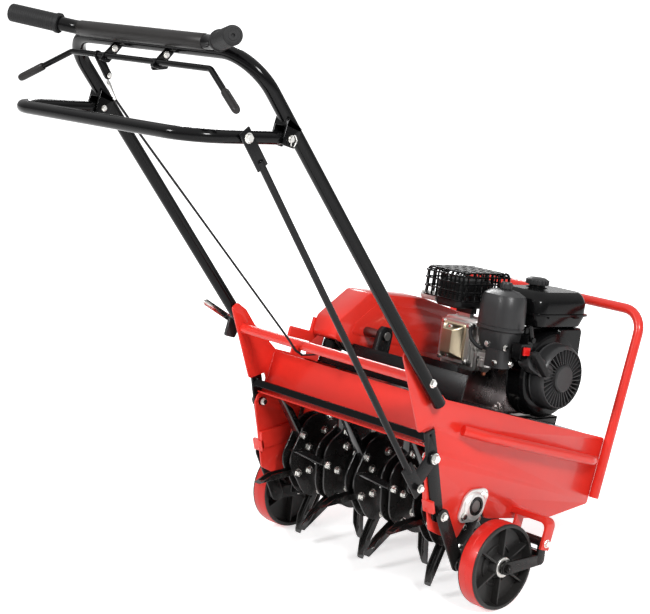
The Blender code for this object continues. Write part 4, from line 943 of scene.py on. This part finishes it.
cup = [turned([(149.3, 0), (149.3, 68), (151, 68), (152, 66.5), (170, 66.5), (175, 65), (179, 62.5), (181, 60),
    (181, 58.5), (168, 57.5), (168, 29), (181, 28), (184, 27), (186, 24), (186, 0)], CUP_Y, 0, 72)]
for k in range(34):
    rib = cut_plate([soften([(27.5, -1), (59, 5.4), (59, 8), (27.5, 1.2)], 0.5, 2)], 167.5, 180.6, 0.7)
    cup.append(placed(rib, about_x(2 * pi * k / 34, 0, CUP_Y)))
cup.append(strip((-46, 12), (-96, 36), 17, 149.3, 178, edge=3, round_ends=True))
engine_part("recoil_cup", cup, satin_black, "recoil_cover", slot="black_paint")
cup_bolts = bolts_at([(166, *polar(61, a, CUP_Y)) for a in (0.6, 2.1, 3.9, 5.3)], 4.4)
engine_part("recoil_bolts", cup_bolts, zinc)
grip = [strip((-112, 52), (-74, 15), 7.5, 184, 199, edge=4, round_ends=True),
    turned([(178.3, 0), (178.3, 4), (182, 5.5), (186, 7), (186, 0)], -92, 33, 24)]
engine_part("pull_grip", grip, rubber, "starter_grip", body="starter_grip")
THROTTLE_AXIS = (-99, 77)
throttle = [strip(THROTTLE_AXIS, (-109, 101), 5, 167, 170, edge=0.6, round_ends=True),
    turned([(152, 0), (152, 3), (170, 3), (170, 5.5), (173, 5.5), (173, 0)], *THROTTLE_AXIS, 16)]
engine_part("throttle_blade", throttle, gloss_black, "throttle_lever", body="throttle", slot="bare_steel")
red_plastic = coated("red_plastic", "red_plastic", (0.74, 0.012, 0.01), 0.3, mottle=0.05, bump=0.03, gleam=0.35)
button = [upright(cut_plate([soften([(172.3, -120.5), (172.3, -128), (176, -128), (176.6, -120.5),
    (178.6, -113), (174.6, -113)], 0.8, 2)], 48, 64, 0.8))]
engine_part("rocker_switch", button, red_plastic, "engine_switch", body="switch")

# Transport wheels: nylon cores with six ribs and a red moulded tread, on forks folded round them from
# 5 mm plate. Toggle links and a cross crank let the bail swing both forks down and lift the tines out.
# The nose wheel closes the section.
WHEEL_AXIS = (46, -95)
LINK_TOP = (-94, -28)
LINK_LOW = (-18, -110)
ROD_LOW = (-179.5, 15.2)
HEEL = (139, -69)
CRANK_IN, CRANK_OUT = 236, 241
LINK_IN, LINK_OUT = 250.2, 254.7
high = Vector(CRANK_PIVOT) - (Vector(LINK_TOP) - Vector(CRANK_PIVOT)).normalized() * 45
crank = []
fitted("crank_square_bar", [block(-CRANK_IN - 1, CRANK_IN + 1, -180.5, -166.5, 99, 113)], gloss_black,
    body="crank", edge=1)
crank_bolts = []
for side in SIDES:
    rise = (high - Vector(CRANK_PIVOT)).normalized()
    wide = Vector((-rise.y, rise.x)) * 10.5
    corners = [(high + rise * 7 + wide, 2), (high + rise * 7 - wide, 2), (CRANK_PIVOT, 14), (LINK_TOP, 14)]
    cheek = hull_plate(corners, CRANK_IN, CRANK_OUT, 0.8, [circle(*high, 2.6)])
    half = [cheek, pin(225, 248, 8, *CRANK_PIVOT, 28)]
    half.append(turned([(240, 0), (240, 12.5), (246, 12.5), (247, 11.5), (247, 0)], *CRANK_PIVOT, 36))
    half.append(turned([(240, 0), (240, 8), (249.8, 8), (249.8, 5), (255.4, 5), (255.4, 0)], *LINK_TOP, 28))
    half.append(weld_bead([(CRANK_IN - 1.5, -182, 97.5), (CRANK_IN - 1.5, -165, 97.5)], 1.5))
    crank += [on_side(p, side) for p in half]
    half = bolts_at([(247, *CRANK_PIVOT)], 9) + bolts_at([(255.4, *LINK_TOP)], 7.6)
    crank_bolts += [on_side(p, side) for p in half + bolts_at([(225, *CRANK_PIVOT)], 7, -1)]
crank.append(hull_plate([(CRANK_PIVOT, 15), (ROD_LOW, 14)], CRANK_IN + 0.3, CRANK_OUT + 0.3))
fitted("lift_crank_welded", crank, black_paint, "lift_crank", body="crank")
fitted("crank_pivot_bolts", crank_bolts, zinc, body="crank")
core_plastic = coated("nylon_core", "black_plastic", (0.012, 0.012, 0.0125), 0.36, mottle=0.15, grain=900,
    bump=0.12, dust=0.06, gleam=0.3)
tread_rubber = coated("red_tread", "red_rubber", (0.66, 0.014, 0.008), 0.34, coat=0.1, mottle=0.08, grain=800,
    bump=0.08, dust=0.06, gleam=0.4)
for side in SIDES:
    link = [hull_plate([(LINK_TOP, 14.5), (LINK_LOW, 14.5)], LINK_IN, LINK_OUT),
        pin(LINK_OUT - 1, 256.7, 6, *LINK_LOW, 24)]
    fitted("toggle_link", link, black_paint, "link", body="link", side=side)
    fork = [hull_plate([(WHEEL_AXIS, 12.5), (HEEL, 10.5)], 314, 319), hull_plate([(FORK_PIVOT, 10),
        (HEEL, 10.5)], 313.7, 319.3), hull_plate([(LINK_LOW, 12.5), (WHEEL_AXIS, 12.5), (HEEL, 10.5)], 257,
        262), hull_plate([(FORK_PIVOT, 10), (HEEL, 10.5)], 256.7, 262.3), strip((135.8, -55.2), (142, -75), 2.8,
        258, 318, edge=1), pin(256, 320, 8.7, *FORK_PIVOT, 32, bore=5.3), pin(261, 267, 7, *LINK_LOW, 6),
        weld_bead([(268, 134.5, -52.5), (308, 134.5, -52.5)], 1.4)]
    fitted("wheel_fork", fork, black_paint, "fork", body="fork", side=side)
    axle = [pin(251, 318.5, 6, *WHEEL_AXIS, 28)]
    axle += bolts_at([(256.8, *WHEEL_AXIS)], 8.4, -1)
    fitted("wheel_axle", axle, zinc, body="fork", side=side)
    nut = bolts_at([(319.2, *WHEEL_AXIS)], 8.4, thread=2.4)
    fitted("axle_nut", nut, gloss_black, body="fork", side=side)
    hub = turned([(305, 12.5), (305, 19.5), (310, 19.5), (311, 18.5), (311, 13.5), (310, 12.5)], *WHEEL_AXIS,
        48)
    fitted("hub_ring", [hub], cast, body="wheel", side=side)
    core = [turned([(269, 75.5), (269, 80.4), (270.4, 82.2), (272, 82.4), (272, 77.7), (306, 77.7), (306, 82.4),
        (308.4, 82.2), (310, 80.4), (310, 75.5), (306, 74.3), (292, 72), (291, 69), (291, 27), (292, 24),
        (306, 20), (308, 18.5), (308, 6.3), (271, 6.3), (271, 18.5), (273, 20), (286.5, 24), (287.5, 27),
        (287.5, 69), (286.5, 72), (273, 74.3)], *WHEEL_AXIS, 72)]
    for k in range(6):
        rib = cut_plate([[(18, -2.2), (74, -1.6), (74, 1.6), (18, 2.2)]], 272, 306, 0.8)
        core.append(placed(rib, about_x(radians(60 * k + 102), 0, *WHEEL_AXIS)))
    core.append(turned([(292, 36), (294, 37), (294, 39), (292, 40)], *WHEEL_AXIS, 60))
    fitted("wheel_rim", core, core_plastic, "wheel_core", body="wheel", side=side)
    band = [(272.2, 78), (272.2, 81.6), (273, 82.8), (275, 83.3), (289.2, 83.5), (289.5, 83.2), (289.8, 83.5),
        (303, 83.3), (305, 82.8), (305.8, 81.6), (305.8, 78)]
    fitted("wheel_tyre", [turned(band, *WHEEL_AXIS, 96)], tread_rubber, "wheel_tread", body="wheel", side=side)
nose_half = [(-15, 5.3), (-15, 15), (-14, 16), (-12, 20), (-12, 41), (-14, 43), (-15, 45), (-14.4, 48.6),
    (-12.6, 50)]
nose_outline = nose_half + [(-x, r) for x, r in reversed(nose_half)]
fitted("nose_roller", [turned(nose_outline, *NOSE_WHEEL, 64)], rubber, "nose_wheel", body="nose_wheel")

# Handle: one tube bent into an arch, its legs bolted to the panels, with the bail's brackets and the
# clutch lever's lugs welded on, and a swept handlebar with a dull sleeve and two rubber grips.
LEG_X = 249
BAIL_HINGE = (-708, 521)
ROD_TOP = (-794, 499.5)
CLUTCH_AXIS = (-837, 590)
LUG_XS = (-90, 50)
LEG_BOLT = (-226, 203)
leg_low = Vector((-181, 170))
CROSS = leg_low + Vector((-0.8137, 0.5821)) * 780
arch = [swept(crossing((LEG_X, *leg_low), (LEG_X, *CROSS)), 12, 72, 36, 14)]
y, z = BAIL_HINGE
bracket = soften([(y - 15, z - 13), (y + 13, z - 13), (y + 17, z + 20), (y + 10, z + 24), (y - 15, z + 34)], 4)
bridge = [(y - 15, z + 17), (y + 16, z + 15), (y + 17, z + 21), (y - 15, z + 30)]
for side in SIDES:
    for x in (-16, 12):
        arch.append(on_side(cut_plate([bracket], LEG_X + x, LEG_X + x + 4, 0.7), side))
    arch.append(on_side(cut_plate([soften(bridge, 2)], LEG_X - 16, LEG_X + 16, 0.8), side))
for x in LUG_XS:
    y, z = CLUTCH_AXIS
    lug = [(y - 11, z - 10), (y + 9, z - 10), (CROSS.x + 9, CROSS.y - 4), (CROSS.x - 8, CROSS.y - 4)]
    arch += [cut_plate([soften(lug, 3), circle(y, z, 5.3)], x - 3, x + 3, 0.6),
        weld_bead([(x - 3, CROSS.x, CROSS.y - 11.5), (x + 3, CROSS.x, CROSS.y - 11.5)], 1.5)]
fitted("handle_arch", arch, gloss_black, "handle_frame")
handle_bolts = []
y, z = BAIL_HINGE
hairpin = [(271.5, y + 4, z - 11), (271.5, y + 7, z), (271.5, y, z + 8), (271.5, y - 7, z),
    (271.5, y - 2, z - 11)]
handle_bolts.append(swept(hairpin, 1, 3, 10, 5))
for side in SIDES:
    hinge_pin = [pin(233, 265, 4, *BAIL_HINGE, 20)]
    hinge_pin += bolts_at([(265.2, *BAIL_HINGE)], 5.4)
    hinge_pin += bolts_at([(261.1, *LEG_BOLT)], 6.8)
    hinge_pin += bolts_at([(232.8, *BAIL_HINGE)], 4.8, -1)
    handle_bolts += [on_side(p, side) for p in hinge_pin]
for x in LUG_XS:
    handle_bolts += bolts_at([(x + 3.2, CLUTCH_AXIS[0] + 12, CLUTCH_AXIS[1] + 16)], 5)
fitted("handle_bolts", handle_bolts, zinc)
BAR_AT = (CROSS.x - 23, CROSS.y + 7)
BAR_END = (294, BAR_AT[0] - 62, BAR_AT[1])
dull_black = coated("dull_black_coat", "black_rubber", (0.014, 0.0125, 0.012), 0.42, mottle=0.3, grain=500,
    bump=0.12, gleam=0.3)
fitted("handlebar_tube", [swept(crossing(BAR_END, (181, *BAR_AT)), 12, 60, 36, 10)], gloss_black, "handlebar")
bar_sleeve = [(x, *BAR_AT) for x in (-176, -174, -120, 0, 120, 158, 160)]
fitted("bar_sleeve", [swept(bar_sleeve, 13.3, sides=36, radii=[12.4, 13.3, 13.3, 13.3, 13.3, 13.3, 12.4])],
    dull_black)
grip_way = Vector((113, -62, 0)).normalized()
GRIP_LENGTH = 96
for side in SIDES:
    tip = Vector(BAR_END) + grip_way * 4
    inner = tip - grip_way * GRIP_LENGTH
    profile = [(0, 12.3), (0, 16.8), (0.8, 17.4), (6, 17.4), (7.2, 16.8), (8, 15.6), (9, 15.4)]
    for k in range(20):
        profile += [(10 + 4 * k, 15.6), (12.4 + 4 * k, 15.6), (12.8 + 4 * k, 15.4), (13.6 + 4 * k, 15.4)]
    profile += [(92, 15.6), (94, 15.2), (95.6, 13.8), (95.8, 11.6), (95.2, 11.2), (95.2, 8), (95.8, 7.6),
        (95.8, 3), (94, 2.6), (92.6, 0)]
    made = turned(profile, sides=64)
    turn = grip_way.to_track_quat("X", "Z").to_matrix().to_4x4()
    made = placed(made, Matrix.Translation(inner) @ turn)
    fitted("grip_sleeve", [made], rubber, "grip", side=side)

# Clutch lever: a bent rod with thick dipped ends, held in the lugs, and the cable that it pulls by an arm.
y, z = CLUTCH_AXIS
lever_low = (y - 16, z - 60)
lever = [swept(crossing((290, *lever_low), (186, y, z)), 5, 20, 24)]
ARM_PIN = (-806, 563)
lever.append(strip(CLUTCH_AXIS, ARM_PIN, 7, -114, -109, edge=0.8, round_ends=True))
stop_plate = [(y + 4, z - 14), (y + 36, z - 2), (y + 24, z + 12), (y - 6, z + 4)]
lever.append(cut_plate([soften(stop_plate, 5)], 36, 39.5, 0.7))
fitted("lever_rod", lever, gloss_black, "clutch_lever", body="clutch_lever")
for side_name, side in zip(("left", "right"), SIDES):
    end = Vector((290 * side, *lever_low))
    way = (Vector((186 * side, y, z)) - end).normalized()
    sleeve = [end + way * s for s in (-3, 0, 3, 48, 52, 54)]
    fitted("lever_sleeve_" + side_name, [swept(sleeve, 6.8, sides=28, radii=[5.4, 6.4, 6.8, 6.8, 6.6, 5.8])],
        dull_black, body="clutch_lever")
arm_pin = [pin(-122, -107, 3.5, *ARM_PIN, 20)]
arm_pin += bolts_at([(-107, *ARM_PIN)], 4)
fitted("clutch_arm_pin", arm_pin, zinc, body="clutch_lever")
cable_line = [(-118, -796, 552), (-116.5, -780, 533), (-115.6, -772, 527.6), (-112, -740, 505.6),
    (-61, -290, 211), (-60, -262, 192), (-62, -240, 186), (-80, -190, 192), (-128, -66, 216),
    (-129, -10, 219.5), (-129, 26, 220)]
sheath = fitted("clutch_cable_sheath", [swept(cable_line[:7], 2.2, 9, 14, steps=9)], rubber, "clutch_cable",
    body=None)
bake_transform(sheath)
wire = fitted("clutch_wire", [swept(cable_line[6:], 1.7, 9, 12)], rubber, body=None)
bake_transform(wire)
ferrule = [(-118, -801, 558), (-118, -796, 552), (-117.2, -786, 540), (-116, -775, 529.5)]
fitted("cable_adjuster", [swept(ferrule, 3.6, sides=16, radii=[1.4, 3.6, 3.6, 2.6])], zinc, body="clutch_lever")

# Lift bail: a wide hoop of glossy tube pinned in the handle's brackets, and the long rod that it pulls,
# with a flat welded to each end.
BAIL_REACH = Vector((-182, -45.5))
bail_way = BAIL_REACH.normalized()
bail_end = Vector(BAIL_HINGE) + BAIL_REACH
bail_start = Vector(BAIL_HINGE) + bail_way * 11
bail = [swept(crossing((LEG_X, *bail_start), (LEG_X, *bail_end)), 11, 64, 36, 14)]
for side in SIDES:
    eye = hull_plate([(BAIL_HINGE, 8.5), (Vector(BAIL_HINGE) + bail_way * 18, 8.5)], LEG_X - 10.4, LEG_X + 10.4,
        1.5)
    bail.append(on_side(eye, side))
fitted("bail_tube", bail, gloss_black, "lift_bail", body="bail")
rod_bolt = [pin(LEG_X, 266, 5, *ROD_TOP, 20)]
rod_bolt += bolts_at([(266.2, *ROD_TOP)], 7.4)
fitted("rod_top_bolt", rod_bolt, zinc, body="bail")
run = (Vector(ROD_LOW) - Vector(ROD_TOP)).normalized()
top = Vector(ROD_TOP)
low = Vector(ROD_LOW)
rod = [strip(top - 14 * run, top + 58 * run, 11, 262, 266, edge=0.7), strip(low - 52 * run, low + 16 * run,
    13.5, 245.5, 249.5, edge=0.7), swept([(264, *(top + 45 * run)), (247.5, *(low - 38 * run))], 6, sides=28),
    pin(241.8, 257, 6, *ROD_LOW, 24), weld_bead([(266, *(top + 46 * run)), (266, *(top + 57 * run))], 1.8)]
fitted("lift_rod_welded", rod, black_paint, "lift_rod", body="rod")
low_bolts = bolts_at([(257, *ROD_LOW)], 6.8)
fitted("rod_low_bolt", low_bolts, zinc, body="rod")

# Tine depth lever: a flat zinc-plated lever on the left leg's foot, with a black plastic foot. It is in
# this script only, and rides on the chassis.
DEPTH_PIVOT = (-240, 212)
lever_plate = [strip((-323, 234), (-236, 211), 6.5, -276.5, -273, edge=0.7, round_ends=True),
    pin(-276.4, -262, 7, *DEPTH_PIVOT, 24)]
lever_plate += bolts_at([(-276.4, *DEPTH_PIVOT)], 6, -1)
fitted("depth_lever", lever_plate, zinc)
pad_shape = [(-262, 180), (-236, 180), (-230, 206), (-244, 222), (-262, 218)]
fitted("depth_lever_foot", [cut_plate([soften(pad_shape, 5)], -269, -262, 1.5)], satin_black)
